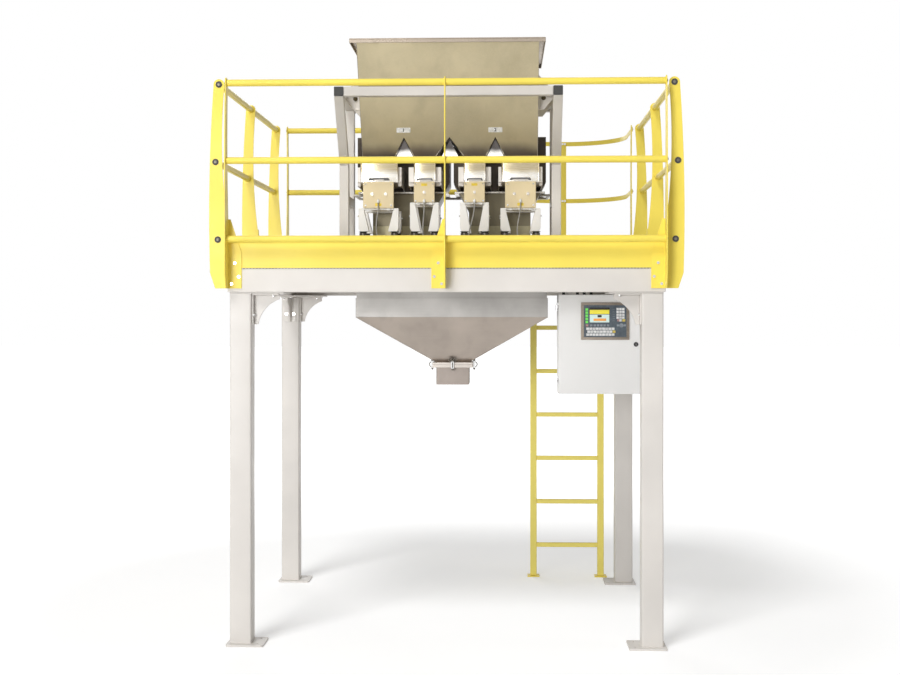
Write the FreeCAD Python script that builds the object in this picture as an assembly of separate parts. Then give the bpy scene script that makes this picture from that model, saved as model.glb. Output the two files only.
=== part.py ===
import FreeCAD, Part
import math
import os

from FreeCAD import Vector

# Bag filling machine: a raised platform with a guard rail and a caged ladder carries a feed
# hopper, four vibrating feeders and two weigh bins. A collector under the deck leads to the
# bag spout, and a control cabinet with one door hangs beside it.
# Millimetres, +Z up, floor at Z = 0, X across the machine, front towards -Y.
# The Y sizes below are measured from the front face of the front legs. The finished part is
# moved along Y so that its origin is at the middle of its own box, on the floor.

# Legs and platform frame
FRAME_WIDTH = 2400.0
FRAME_DEPTH = 1923.0
LEG_SIZE = 120.0
LEG_CORNER = 10.0
FOOT_PLATE_THICKNESS = 12.0
FOOT_PLATE_OUT = 18.0
FOOT_PLATE_IN = 72.0
FOOT_PLATE_SIDE = 40.0
FOOT_PLATE_CORNER = 12.0
ANCHOR_RADIUS = 7.0
ANCHOR_SPACING = 130.0
HEAD_PLATE_SIZE = 300.0
HEAD_PLATE_THICKNESS = 8.0
BEAM_BOTTOM = 1963.0
BEAM_HEIGHT = 129.0
BEAM_THICKNESS = 100.0
BEAM_PROUD = 10.0
CROSS_BEAM_HEIGHT = 100.0
CROSS_BEAM_THICKNESS = 60.0
STRINGER_BEAM_WIDTH = 50.0
STRINGER_BEAM_INNER = 700.0
GUSSET_WIDTH = 150.0
GUSSET_HEIGHT = 171.0
GUSSET_TIP = 22.0
GUSSET_SAG = 26.0
GUSSET_WEB = 10.0
GUSSET_FLANGE_WIDTH = 80.0
GUSSET_FLANGE_THICKNESS = 8.0

# Deck and toe boards
DECK_THICKNESS = 5.0
DECK_HOLE_MARGIN = 50.0
TOE_BOARD_HEIGHT = 153.0
TOE_BOARD_THICKNESS = 6.0

# Guard rail: heights above the deck and reach outside the beam, for top, middle and low rail
RAIL_RADIUS = 19.0
TOP_RAIL_HEIGHT = 1019.0
MIDDLE_RAIL_HEIGHT = 589.0
LOW_RAIL_HEIGHT = 158.0
TOP_RAIL_REACH = 48.0
MIDDLE_RAIL_REACH = 67.0
LOW_RAIL_REACH = 54.0
POST_THICKNESS = 6.0
POST_DROP = 108.0
POST_FOOT_REACH = 69.0
POST_SHOULDER_REACH = 98.0
POST_SHOULDER_RISE = 86.0
POST_HEAD_RADIUS = 30.0
POST_EDGE_OUT = 32.0
POST_EDGE_IN = 37.0
POST_FACE_HEIGHT = 233.0
POST_FLANGE_WIDTH = 80.0
POST_FLANGE_NECK = 18.0
POST_FLANGE_SHOULDER = 196.0
POST_FLANGE_HEIGHT = 383.0
FRONT_MIDDLE_POST_X = 3.0
SIDE_MIDDLE_POST_Y = 958.0
SIDE_REAR_POST_INSET = 10.0
REAR_LEFT_POST_INSET = 20.0
GATE_OPENING = 872.0
PLUG_THICKNESS = 4.0

# Ladder and cage
LADDER_INSET = 443.5
LADDER_WIDTH = 513.0
LADDER_STANDOFF = 117.0
LADDER_STRINGER_WIDTH = 45.0
LADDER_STRINGER_DEPTH = 40.0
LADDER_FOOT_SIZE = 85.0
LADDER_FOOT_THICKNESS = 8.0
LADDER_TOP_DROP = 4.0
RUNG_SIZE = 30.0
RUNG_PITCH = 304.0
FIRST_RUNG_HEIGHT = 220.0
LADDER_BRACKET_HEIGHT = 60.0
LADDER_BRACKET_DROP = 44.0
HOOP_BAR_HEIGHT = 32.0
HOOP_BAR_THICKNESS = 6.0
HOOP_ARM_START = 38.0
HOOP_REACH = 897.0
CAGE_STRAP_WIDTH = 39.0

# Hopper frame on the deck
TUBE = 55.0
HOPPER_TO_TUBE = 85.0
FRAME_HEIGHT = 1067.0
FRAME_FRONT_Y = 381.0
FRAME_REAR_Y = 1099.0
FRONT_LEG_Y = 655.0
FRONT_LEG_KNEE_HEIGHT = 639.0
REAR_LEG_Y = 975.0
BRACE_HEIGHT = 403.0
FRAME_CAP_THICKNESS = 4.0
HOPPER_BRACKET_THICKNESS = 12.0
HOPPER_BRACKET_FRONT_Y = 560.0
HOPPER_BRACKET_REAR_Y = 860.0
HOPPER_BRACKET_RISE = 96.0
HOPPER_BRACKET_DROP = 59.0
HOPPER_BRACKET_TOE = 35.0

# Feed hopper
SHEET = 4.0
SEAM = 0.3
HOPPER_HALF_WIDTH = 525.0
HOPPER_ABOVE_FRAME = 250.0
HOPPER_HEIGHT = 626.0
HOPPER_TOP_FRONT_Y = 294.0
HOPPER_TOP_REAR_Y = 1100.0
HOPPER_BOTTOM_FRONT_Y = 655.0
HOPPER_BOTTOM_REAR_Y = 800.0
RIM_WIDTH = 37.0
RIM_THICKNESS = 6.0
RIM_LIP = 20.0
DIVIDER_HEIGHT = 106.0
OUTLET_LENGTH = 24.0
COARSE_OUTLET_INNER = 332.0
FINE_OUTLET_OUTER = 213.0
FINE_OUTLET_INNER = 88.0

# Vibrating feeders
COARSE_FEEDER_SHIFT = 6.5
FINE_FEEDER_X = 149.0
COARSE_INLET_SPARE = 33.0
FINE_INLET_WIDTH = 133.0
COARSE_TRAY_SPARE = 37.0
FINE_TRAY_WIDTH = 195.0
COARSE_DRIVE_INSET = 44.0
FINE_DRIVE_WIDTH = 123.0
COARSE_DRIVE_HEIGHT = 157.0
FINE_DRIVE_HEIGHT = 123.0
COARSE_YOKE_SPARE = 12.0
FINE_YOKE_WIDTH = 171.0
INLET_FRONT_Y = 600.0
INLET_REAR_Y = 820.0
INLET_TOP_GAP = 12.0
TRAY_DROP = 158.0
TRAY_FRONT_Y = 640.0
TRAY_REAR_Y = 1000.0
TRAY_SKIRT = 25.0
TRAY_SIDE_HEIGHT = 90.0
DRIVE_FRONT_Y = 560.0
DRIVE_BLOCK_REAR_Y = 860.0
DRIVE_BLOCK_SHARE = 0.7
YOKE_DEPTH = 50.0
YOKE_FRONT_Y = 572.0
YOKE_REAR_Y = 790.0
YOKE_BAR = 10.0
YOKE_LEG_TOP = 31.0
YOKE_LEG_FOOT = 62.0
YOKE_CHAMFER = 18.0
YOKE_CLEARANCE = 235.0
FEEDER_FOOT_RADIUS = 25.0
FEEDER_FOOT_HEIGHT = 42.0
BASE_RAIL_HEIGHT = 60.0
BASE_RAIL_OVERRUN = 70.0
BASE_POST = 50.0

# Weigh bins behind the feeders
BIN_OVERHANG = 59.0
BIN_INNER_X = 13.0
BIN_FRONT_Y = 930.0
BIN_REAR_Y = 1230.0
BIN_KNEE_RISE = 24.0
BIN_UPPER_HEIGHT = 280.0
BIN_TAPER_HEIGHT = 179.0
BIN_TAPER = 95.0
BIN_OUTLET_HEIGHT = 265.0
TRAY_CLEARANCE = 4.0
BIN_FLANGE_DROP = 59.0
BIN_FLANGE_THICKNESS = 10.0
BIN_FLANGE_WIDTH = 25.0
BIN_BAR_THICKNESS = 12.0
BIN_BAR_DEPTH = 40.0
BIN_ARM_WIDTH = 18.0

# Collector and bag spout under the deck
COLLECTOR_X = 8.0
COLLECTOR_HALF_WIDTH = 580.0
COLLECTOR_FRONT_Y = 700.0
COLLECTOR_REAR_Y = 1300.0
COLLAR_EXPOSED = 26.0
SKIRT_HEIGHT = 116.0
COLLAR_LAP = 10.0
COLLECTOR_SHEET = 5.0
SPOUT_HALF_WIDTH = 100.0
CONE_HEIGHT = 280.0
CONE_FLANGE_WIDTH = 24.0
CONE_FLANGE_THICKNESS = 14.0
SPOUT_FLANGE_THICKNESS = 18.0
SPOUT_LENGTH = 106.0
CLAMP_WIDTH = 18.0
CLAMP_DEPTH = 14.0
CLAMP_OVERRUN = 6.0

# Control cabinet, its door and what the door carries
CABINET_INSET = 58.0
CABINET_WIDTH = 499.0
CABINET_DROP = 6.0
CABINET_HEIGHT = 600.0
CABINET_FRONT_Y = 740.0
CABINET_DEPTH = 210.0
CABINET_SHEET = 4.0
DOOR_THICKNESS = 20.0
DOOR_GAP = 5.0
PANEL_LEFT = 136.0
PANEL_WIDTH = 290.0
PANEL_BOTTOM = 327.0
PANEL_HEIGHT = 226.0
PANEL_THICKNESS = 12.0
LOCK_RADIUS = 14.0
LOCK_THICKNESS = 8.0
LOCK_INSET = 32.0
HINGE_OFFSET = 9.0
HINGE_PIN_RADIUS = 3.0
HINGE_CLEARANCE = 0.3
HINGE_SLEEVE_RADIUS = 6.0
HINGE_SLEEVE_LENGTH = 30.0
HINGE_EDGE = 80.0
HINGE_LEAF_THICKNESS = 4.0
HINGE_LEAF_HEIGHT = 14.0
HANGER_SIZE = 30.0
HANGER_INSET = 35.0

# Feeder cables: each leaves a gland low on its drive's front plate and hangs to a duct on the deck
CABLE_RADIUS = 3.5
CABLE_SHORTEST_SHARE = 0.45
GLAND_WIDTH = 18.0
GLAND_DEPTH = 16.0
GLAND_HEIGHT = 22.0
GLAND_DROP = 130.0
DUCT_INSET = 5.0
DUCT_FRONT_Y = 522.0
DUCT_REAR_Y = 571.0
DUCT_HEIGHT = 72.0
DUCT_PORT_RADIUS = 9.0
DUCT_PORT_HEIGHT = 8.0
CABINET_GLAND_RADIUS = 10.0
CABINET_GLAND_HEIGHT = 27.0
CABINET_GLAND_PITCH = 42.0
CABINET_GLAND_COUNT = 5
CABINET_GLAND_INSET = 37.0
CABINET_GLAND_Y = 856.0

# Each route in millimetres: along X from the gland, along Y from the gland, and down from it
COARSE_LEFT_ROUTE = (
    (0, 0, 0), (0, 0, 42), (-10, -3, 100), (-13, -6, 162),
    (2, -6, 220), (28, -2, 282), (28, -2, 323),
)
FINE_LEFT_ROUTE = (
    (0, 0, 0), (0, 0, 50), (-6, -4, 112), (-8, -6, 172),
    (-2, -6, 230), (6, -2, 284), (6, -2, 323),
)
FINE_RIGHT_ROUTE = (
    (0, 0, 0), (0, 0, 42), (-14, -4, 106), (-29, -6, 162),
    (-38, -6, 222), (-30, -2, 282), (-30, -2, 323),
)
COARSE_RIGHT_ROUTE = (
    (0, 0, 0), (0, 0, 42), (-14, -4, 108), (-22, -6, 164),
    (-12, -6, 222), (14, -2, 284), (14, -2, 323),
)

# Places worked out from the sizes above
HALF_WIDTH = FRAME_WIDTH / 2
FACE_X = HALF_WIDTH + BEAM_PROUD
FACE_FRONT = -BEAM_PROUD
FACE_REAR = FRAME_DEPTH + BEAM_PROUD
SIDE_REAR_POST_Y = FACE_REAR - SIDE_REAR_POST_INSET
REAR_LEFT_POST_X = REAR_LEFT_POST_INSET - FACE_X
GATE_POST_X = FACE_X - GATE_OPENING
LADDER_CENTRE_X = FACE_X - LADDER_INSET
LEG_TOP = BEAM_BOTTOM - HEAD_PLATE_THICKNESS
BEAM_TOP = BEAM_BOTTOM + BEAM_HEIGHT
CROSS_BEAM_BOTTOM = BEAM_TOP - CROSS_BEAM_HEIGHT
DECK_TOP = BEAM_TOP + DECK_THICKNESS
RUNG_COUNT = 1 + int((DECK_TOP - FIRST_RUNG_HEIGHT) / RUNG_PITCH)
POST_BOTTOM = BEAM_TOP - POST_DROP
STRINGER_BEAM_OUTER = FACE_X - BEAM_THICKNESS - STRINGER_BEAM_WIDTH
COLLAR_INSET = COLLECTOR_SHEET + SEAM
COLLAR_HALF_WIDTH = COLLECTOR_HALF_WIDTH - COLLAR_INSET
COLLAR_FRONT_Y = COLLECTOR_FRONT_Y + COLLAR_INSET
COLLAR_REAR_Y = COLLECTOR_REAR_Y - COLLAR_INSET
CROSS_BEAM_FRONT_Y = COLLAR_FRONT_Y - CROSS_BEAM_THICKNESS
RAILS = (
    (DECK_TOP + TOP_RAIL_HEIGHT, TOP_RAIL_REACH),
    (DECK_TOP + MIDDLE_RAIL_HEIGHT, MIDDLE_RAIL_REACH),
    (DECK_TOP + LOW_RAIL_HEIGHT, LOW_RAIL_REACH),
)
FRAME_TOP = DECK_TOP + FRAME_HEIGHT
FRONT_LEG_KNEE = DECK_TOP + FRONT_LEG_KNEE_HEIGHT
BRACE_BOTTOM = DECK_TOP + BRACE_HEIGHT
TUBE_BOTTOM = FRAME_TOP - TUBE
HOPPER_TOP = FRAME_TOP + HOPPER_ABOVE_FRAME
HOPPER_BOTTOM = HOPPER_TOP - HOPPER_HEIGHT
FRAME_TUBE_X = HOPPER_HALF_WIDTH + HOPPER_TO_TUBE
COARSE_FEEDER_X = (HOPPER_HALF_WIDTH + COARSE_OUTLET_INNER) / 2 - COARSE_FEEDER_SHIFT
COARSE_INLET_WIDTH = HOPPER_HALF_WIDTH - COARSE_OUTLET_INNER + COARSE_INLET_SPARE
COARSE_TRAY_WIDTH = COARSE_INLET_WIDTH + COARSE_TRAY_SPARE
COARSE_DRIVE_WIDTH = COARSE_INLET_WIDTH - COARSE_DRIVE_INSET
COARSE_YOKE_WIDTH = COARSE_INLET_WIDTH + COARSE_YOKE_SPARE
BASE_RAIL_HALF_LENGTH = HOPPER_HALF_WIDTH + BASE_RAIL_OVERRUN
BIN_OUTER_X = HOPPER_HALF_WIDTH + BIN_OVERHANG
DUCT_HALF_LENGTH = HOPPER_HALF_WIDTH - DUCT_INSET
TRAY_FLOOR = HOPPER_BOTTOM - TRAY_DROP
YOKE_BOTTOM = DECK_TOP + YOKE_CLEARANCE
BASE_RAIL_TOP = YOKE_BOTTOM - FEEDER_FOOT_HEIGHT
BASE_RAIL_BOTTOM = BASE_RAIL_TOP - BASE_RAIL_HEIGHT
TRAY_UNDERSIDE = TRAY_FLOOR - SHEET
BIN_KNEE = TRAY_FLOOR + BIN_KNEE_RISE
BIN_TOP = BIN_KNEE + BIN_UPPER_HEIGHT
BIN_OUTLET_TOP = BIN_KNEE - BIN_TAPER_HEIGHT
BIN_BOTTOM = BIN_OUTLET_TOP - BIN_OUTLET_HEIGHT
BIN_FLANGE_TOP = BIN_KNEE - BIN_FLANGE_DROP
SKIRT_TOP = BEAM_BOTTOM - COLLAR_EXPOSED
SKIRT_BOTTOM = SKIRT_TOP - SKIRT_HEIGHT
CONE_BOTTOM = SKIRT_BOTTOM - CONE_HEIGHT
SPOUT_FLANGE_TOP = CONE_BOTTOM - CONE_FLANGE_THICKNESS
SPOUT_TOP = SPOUT_FLANGE_TOP - SPOUT_FLANGE_THICKNESS
SPOUT_BOTTOM = SPOUT_TOP - SPOUT_LENGTH
COLLECTOR_MIDDLE_Y = (COLLECTOR_FRONT_Y + COLLECTOR_REAR_Y) / 2
CABINET_RIGHT = FACE_X - CABINET_INSET
CABINET_LEFT = CABINET_RIGHT - CABINET_WIDTH
CABINET_TOP = BEAM_BOTTOM - CABINET_DROP
CABINET_BOTTOM = CABINET_TOP - CABINET_HEIGHT
CABINET_BODY_FRONT = CABINET_FRONT_Y + DOOR_THICKNESS + DOOR_GAP
CABINET_REAR = CABINET_FRONT_Y + CABINET_DEPTH
HINGE_X = CABINET_LEFT - HINGE_OFFSET
HINGE_Y = CABINET_FRONT_Y + DOOR_THICKNESS / 2
CAGE_REAR_Y = FACE_REAR + HOOP_REACH
GLAND_BOTTOM = TRAY_FLOOR - GLAND_DROP
CABLE_Y = DRIVE_FRONT_Y - GLAND_DEPTH / 2
DUCT_TOP = DECK_TOP + DUCT_HEIGHT
DUCT_PORT_TOP = DUCT_TOP + DUCT_PORT_HEIGHT
SIDES = (-1, 1)


def block(x0, x1, y0, y1, z0, z1):
    """A box between two corners, given in any order along X."""
    left = min(x0, x1)
    return Part.makeBox(abs(x1 - x0), y1 - y0, z1 - z0, Vector(left, y0, z0))


def prism(points, direction):
    """A closed outline of points, pushed along a vector."""
    return Part.Face(Part.makePolygon(points + points[:1])).extrude(direction)


def outline_prism(edges, direction):
    """A closed outline of lines and arcs, pushed along a vector."""
    return Part.Face(Part.Wire([edge.toShape() for edge in edges])).extrude(direction)


def solid_of(faces):
    """A solid closed by flat faces, each given by its corner points."""
    shell = Part.Shell([Part.Face(Part.makePolygon(face + face[:1])) for face in faces])
    return Part.Solid(shell)


def group(shapes):
    """Several solids of one node, kept apart."""
    return Part.makeCompound(shapes)


def mirrored(shape):
    """The same shape on the other side of the machine."""
    return shape.mirror(Vector(0, 0, 0), Vector(1, 0, 0))


def both_sides(shape):
    """A shape and its mirror image."""
    return [shape, mirrored(shape)]


def wall_panel(outer, inner):
    """One wall between four outer and four inner corners, in the same order round."""
    faces = [outer, inner[::-1]]
    for n in range(len(outer)):
        m = (n + 1) % len(outer)
        faces.append([outer[n], inner[n], inner[m], outer[m]])
    return solid_of(faces)


def ring_of_panels(low, high, z0, z1, wall):
    """Front, rear, left and right walls of a box-shaped or tapered duct, mitred at its corners.

    low and high are (x0, x1, y0, y1) outside at z0 and z1, and wall is measured level.
    """
    corners = []
    for (x0, x1, y0, y1), z in ((low, z0), (high, z1)):
        outer = [Vector(x0, y0, z), Vector(x1, y0, z), Vector(x1, y1, z), Vector(x0, y1, z)]
        inner = [
            Vector(x0 + wall, y0 + wall, z),
            Vector(x1 - wall, y0 + wall, z),
            Vector(x1 - wall, y1 - wall, z),
            Vector(x0 + wall, y1 - wall, z),
        ]
        corners.append((outer, inner))
    (outer_low, inner_low), (outer_high, inner_high) = corners
    panels = []
    for n in range(4):
        m = (n + 1) % 4
        along = (outer_low[m] - outer_low[n]).normalize() * SEAM
        outer = [outer_low[n] + along, outer_low[m] - along, outer_high[m] - along, outer_high[n] + along]
        inner = [inner_low[n] + along, inner_low[m] - along, inner_high[m] - along, inner_high[n] + along]
        panels.append(wall_panel(outer, inner))
    return panels


def leg_column(side, y0):
    """A square leg with rounded corners, between its foot plate and its head plate."""
    outer = side * HALF_WIDTH
    inner = side * (HALF_WIDTH - LEG_SIZE)
    column = block(inner, outer, y0, y0 + LEG_SIZE, FOOT_PLATE_THICKNESS, LEG_TOP)
    upright = [edge for edge in column.Edges if edge.Length > LEG_SIZE * 2]
    return column.makeFillet(LEG_CORNER, upright)


def foot_plate(side, y0):
    """A foot plate with two anchor holes in its inner part."""
    outer = side * (HALF_WIDTH + FOOT_PLATE_OUT)
    inner = side * (HALF_WIDTH - LEG_SIZE - FOOT_PLATE_IN)
    front = y0 - FOOT_PLATE_SIDE
    rear = y0 + LEG_SIZE + FOOT_PLATE_SIDE
    plate = block(inner, outer, front, rear, 0, FOOT_PLATE_THICKNESS)
    upright = [e for e in plate.Edges if abs(e.tangentAt(e.FirstParameter).z) > 0.9]
    plate = plate.makeFillet(FOOT_PLATE_CORNER, upright)
    hole_x = side * (HALF_WIDTH - LEG_SIZE - FOOT_PLATE_IN / 2)
    for step in SIDES:
        hole_y = y0 + LEG_SIZE / 2 + step * ANCHOR_SPACING / 2
        hole = Part.makeCylinder(ANCHOR_RADIUS, FOOT_PLATE_THICKNESS, Vector(hole_x, hole_y, 0))
        plate = plate.cut(hole)
    return plate


def head_plate(side, rear):
    """The square plate between a leg and the corner of the beams."""
    outer = side * HALF_WIDTH
    inner = side * (HALF_WIDTH - HEAD_PLATE_SIZE)
    y0 = FRAME_DEPTH - HEAD_PLATE_SIZE if rear else 0.0
    return block(inner, outer, y0, y0 + HEAD_PLATE_SIZE, LEG_TOP, BEAM_BOTTOM)


def gusset_profile():
    """The gusset's web from the leg outwards (X) and down from its top flange, with a hollow edge."""
    top = LEG_TOP - GUSSET_FLANGE_THICKNESS - SEAM
    start = GUSSET_FLANGE_THICKNESS + SEAM
    end = GUSSET_WIDTH
    low = LEG_TOP - GUSSET_HEIGHT
    a = Vector(start, 0, top)
    b = Vector(end, 0, top)
    c = Vector(end, 0, top - GUSSET_TIP)
    d = Vector(start + GUSSET_TIP, 0, low)
    e = Vector(start, 0, low)
    chord = (c + d) * 0.5
    inwards = (a - chord).normalize() * GUSSET_SAG
    edges = [
        Part.LineSegment(a, b),
        Part.LineSegment(b, c),
        Part.Arc(c, chord + inwards, d),
        Part.LineSegment(d, e),
        Part.LineSegment(e, a),
    ]
    return outline_prism(edges, Vector(0, GUSSET_WEB, 0))


def gusset_pieces():
    """Web and two flanges of a gusset that points along +X from a leg face at X = 0."""
    web = gusset_profile()
    web.translate(Vector(0, -GUSSET_WEB / 2, 0))
    half = GUSSET_FLANGE_WIDTH / 2
    underside = LEG_TOP - GUSSET_FLANGE_THICKNESS
    top = block(0, GUSSET_WIDTH, -half, half, underside, LEG_TOP)
    side = block(0, GUSSET_FLANGE_THICKNESS, -half, half, LEG_TOP - GUSSET_HEIGHT, underside - SEAM)
    return [web, top, side]


def all_gussets():
    """Two gussets on each leg, one along each beam."""
    gussets = []
    for side in SIDES:
        for rear in (False, True):
            leg_x = side * (HALF_WIDTH - LEG_SIZE / 2)
            leg_y = FRAME_DEPTH - LEG_SIZE / 2 if rear else LEG_SIZE / 2
            along_x = 180 if side > 0 else 0
            along_y = 270 if rear else 90
            for angle in (along_x, along_y):
                for shape in gusset_pieces():
                    shape.translate(Vector(LEG_SIZE / 2, 0, 0))
                    shape.rotate(Vector(0, 0, 0), Vector(0, 0, 1), angle)
                    shape.translate(Vector(leg_x, leg_y, 0))
                    gussets.append(shape)
    return gussets


def deck_hole():
    """The hole in the deck over the collector, as (x0, x1, y0, y1)."""
    half = COLLAR_HALF_WIDTH - DECK_HOLE_MARGIN
    return (
        COLLECTOR_X - half,
        COLLECTOR_X + half,
        COLLAR_FRONT_Y + DECK_HOLE_MARGIN,
        COLLAR_REAR_Y - DECK_HOLE_MARGIN,
    )


def deck_panels():
    """Four deck plates round the hole over the collector."""
    x0, x1, y0, y1 = deck_hole()
    return [
        block(-FACE_X, FACE_X, FACE_FRONT, y0 - SEAM, BEAM_TOP, DECK_TOP),
        block(-FACE_X, FACE_X, y1 + SEAM, FACE_REAR, BEAM_TOP, DECK_TOP),
        block(-FACE_X, x0, y0, y1, BEAM_TOP, DECK_TOP),
        block(x1, FACE_X, y0, y1, BEAM_TOP, DECK_TOP),
    ]


def guard_post(side):
    """A post for the front: a curved web outside X = 0, with its flange on the beam face at Y = 0.

    side is 1 where the flange points to +X and -1 where it points to -X.
    """
    head = Vector(0, -TOP_RAIL_REACH, DECK_TOP + TOP_RAIL_HEIGHT)
    middle_z = DECK_TOP + MIDDLE_RAIL_HEIGHT
    foot = Vector(0, 0, POST_BOTTOM)
    toe = Vector(0, -POST_FOOT_REACH, POST_BOTTOM)
    shoulder = Vector(0, -POST_SHOULDER_REACH, POST_BOTTOM + POST_SHOULDER_RISE)
    outer_middle = Vector(0, -MIDDLE_RAIL_REACH - POST_EDGE_OUT, middle_z)
    outer_head = head - Vector(0, POST_HEAD_RADIUS, 0)
    inner_head = head + Vector(0, POST_HEAD_RADIUS, 0)
    crown = head + Vector(0, 0, POST_HEAD_RADIUS)
    inner_middle = Vector(0, -MIDDLE_RAIL_REACH + POST_EDGE_IN, middle_z)
    face_top = Vector(0, 0, DECK_TOP + POST_FACE_HEIGHT)
    edges = [
        Part.LineSegment(foot, toe),
        Part.LineSegment(toe, shoulder),
        Part.Arc(shoulder, outer_middle, outer_head),
        Part.Arc(outer_head, crown, inner_head),
        Part.Arc(inner_head, inner_middle, face_top),
        Part.LineSegment(face_top, foot),
    ]
    web = outline_prism(edges, Vector(POST_THICKNESS, 0, 0))
    flange = prism(
        [
            Vector(0, 0, POST_BOTTOM),
            Vector(POST_FLANGE_WIDTH, 0, POST_BOTTOM),
            Vector(POST_FLANGE_WIDTH, 0, POST_BOTTOM + POST_FLANGE_SHOULDER),
            Vector(POST_FLANGE_NECK, 0, POST_BOTTOM + POST_FLANGE_HEIGHT),
            Vector(0, 0, POST_BOTTOM + POST_FLANGE_HEIGHT),
        ],
        Vector(0, -POST_THICKNESS, 0),
    )
    post = web.fuse(flange).removeSplitter()
    return post if side > 0 else mirrored(post)


def placed_post(side, angle, x, y):
    """A guard post turned to face outwards and set on the beam face at x, y."""
    post = guard_post(side)
    post.rotate(Vector(0, 0, 0), Vector(0, 0, 1), angle)
    post.translate(Vector(x, y, 0))
    return post


def front_posts():
    """Two corner posts and the middle post of the front."""
    return [
        placed_post(1, 0, -FACE_X, FACE_FRONT),
        placed_post(-1, 0, FRONT_MIDDLE_POST_X, FACE_FRONT),
        placed_post(-1, 0, FACE_X, FACE_FRONT),
    ]


def side_posts(side):
    """Three posts of one side: the rear one has its flange towards the front, the others to the rear."""
    x = side * FACE_X
    angle = 90 * side
    posts = [placed_post(side, angle, x, y) for y in (FACE_FRONT, SIDE_MIDDLE_POST_Y)]
    posts.append(placed_post(-side, angle, x, SIDE_REAR_POST_Y + POST_THICKNESS))
    return posts


def rear_posts():
    """The rear corner posts and the post beside the ladder opening."""
    return [
        placed_post(-1, 180, REAR_LEFT_POST_X, FACE_REAR),
        placed_post(1, 180, GATE_POST_X, FACE_REAR),
        placed_post(1, 180, FACE_X, FACE_REAR),
    ]


def rail_between(start, end, radius=RAIL_RADIUS):
    """A round rail from one point to another."""
    along = end - start
    return Part.makeCylinder(radius, along.Length, start, along)


def front_rails():
    """Three rails in two spans between the front posts."""
    spans = (
        (-FACE_X + POST_THICKNESS, FRONT_MIDDLE_POST_X - POST_THICKNESS),
        (FRONT_MIDDLE_POST_X, FACE_X - POST_THICKNESS),
    )
    rails = []
    for z, reach in RAILS:
        y = FACE_FRONT - reach
        rails += [rail_between(Vector(x0, y, z), Vector(x1, y, z)) for x0, x1 in spans]
    return rails


def side_rails(side):
    """Three rails in two spans between the posts of one side."""
    spans = (
        (FACE_FRONT + POST_THICKNESS, SIDE_MIDDLE_POST_Y),
        (SIDE_MIDDLE_POST_Y + POST_THICKNESS, SIDE_REAR_POST_Y),
    )
    rails = []
    for z, reach in RAILS:
        x = side * (FACE_X + reach)
        rails += [rail_between(Vector(x, y0, z), Vector(x, y1, z)) for y0, y1 in spans]
    return rails


def rear_rails():
    """Three rails from the rear left post to the post beside the ladder opening."""
    x0 = REAR_LEFT_POST_X + POST_THICKNESS
    x1 = GATE_POST_X - POST_THICKNESS
    rails = []
    for z, reach in RAILS:
        y = FACE_REAR + reach
        rails.append(rail_between(Vector(x0, y, z), Vector(x1, y, z)))
    return rails


def rail_plugs():
    """End plugs outside the corner posts, in line with the rails."""
    plugs = []
    for z, reach in RAILS:
        for side in SIDES:
            x = side * (FACE_X + reach)
            front = Vector(x, FACE_FRONT - PLUG_THICKNESS, z)
            rear = Vector(x, SIDE_REAR_POST_Y + POST_THICKNESS, z)
            plugs.append(rail_between(front, front + Vector(0, PLUG_THICKNESS, 0)))
            plugs.append(rail_between(rear, rear + Vector(0, PLUG_THICKNESS, 0)))
            end = Vector(side * FACE_X, FACE_FRONT - reach, z)
            plugs.append(rail_between(end, end + Vector(side * PLUG_THICKNESS, 0, 0)))
        left = Vector(REAR_LEFT_POST_X, FACE_REAR + reach, z)
        plugs.append(rail_between(left, left - Vector(PLUG_THICKNESS, 0, 0)))
    return plugs


def toe_boards():
    """Toe boards: front, both sides, and the rear up to the ladder opening."""
    z0 = DECK_TOP
    z1 = DECK_TOP + TOE_BOARD_HEIGHT
    t = TOE_BOARD_THICKNESS
    front = block(-FACE_X, FACE_X, FACE_FRONT, FACE_FRONT + t, z0, z1)
    side = block(FACE_X - t, FACE_X, FACE_FRONT + t + SEAM, FACE_REAR - t - SEAM, z0, z1)
    rear = block(-FACE_X, GATE_POST_X, FACE_REAR - t, FACE_REAR, z0, z1)
    return [front, rear] + both_sides(side)


def ladder_stringer_edges():
    """Left edges of the two ladder stringers."""
    half = LADDER_WIDTH / 2
    return (LADDER_CENTRE_X - half, LADDER_CENTRE_X + half - LADDER_STRINGER_WIDTH)


def ladder():
    """Stringers, rungs, feet and top brackets of the ladder behind the rear beam."""
    y0 = FACE_REAR + LADDER_STANDOFF
    y1 = y0 + LADDER_STRINGER_DEPTH
    top = BEAM_TOP - LADDER_TOP_DROP
    stringers = []
    feet = []
    brackets = []
    bracket_top = BEAM_TOP - LADDER_BRACKET_DROP
    for x0 in ladder_stringer_edges():
        x1 = x0 + LADDER_STRINGER_WIDTH
        margin_x = (LADDER_FOOT_SIZE - LADDER_STRINGER_WIDTH) / 2
        margin_y = (LADDER_FOOT_SIZE - LADDER_STRINGER_DEPTH) / 2
        stringers.append(block(x0, x1, y0, y1, LADDER_FOOT_THICKNESS, top))
        foot = (x0 - margin_x, x1 + margin_x, y0 - margin_y, y1 + margin_y)
        feet.append(block(*foot, 0, LADDER_FOOT_THICKNESS))
        brackets.append(block(x0, x1, FACE_REAR, y0, bracket_top - LADDER_BRACKET_HEIGHT, bracket_top))
    left, right = ladder_stringer_edges()
    half = RUNG_SIZE / 2
    rung_y = (y0 + y1) / 2 - half
    rungs = []
    for n in range(RUNG_COUNT):
        z = FIRST_RUNG_HEIGHT + n * RUNG_PITCH - half
        rungs.append(block(left + LADDER_STRINGER_WIDTH, right, rung_y, rung_y + RUNG_SIZE, z, z + RUNG_SIZE))
    return stringers, rungs, feet + brackets


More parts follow.
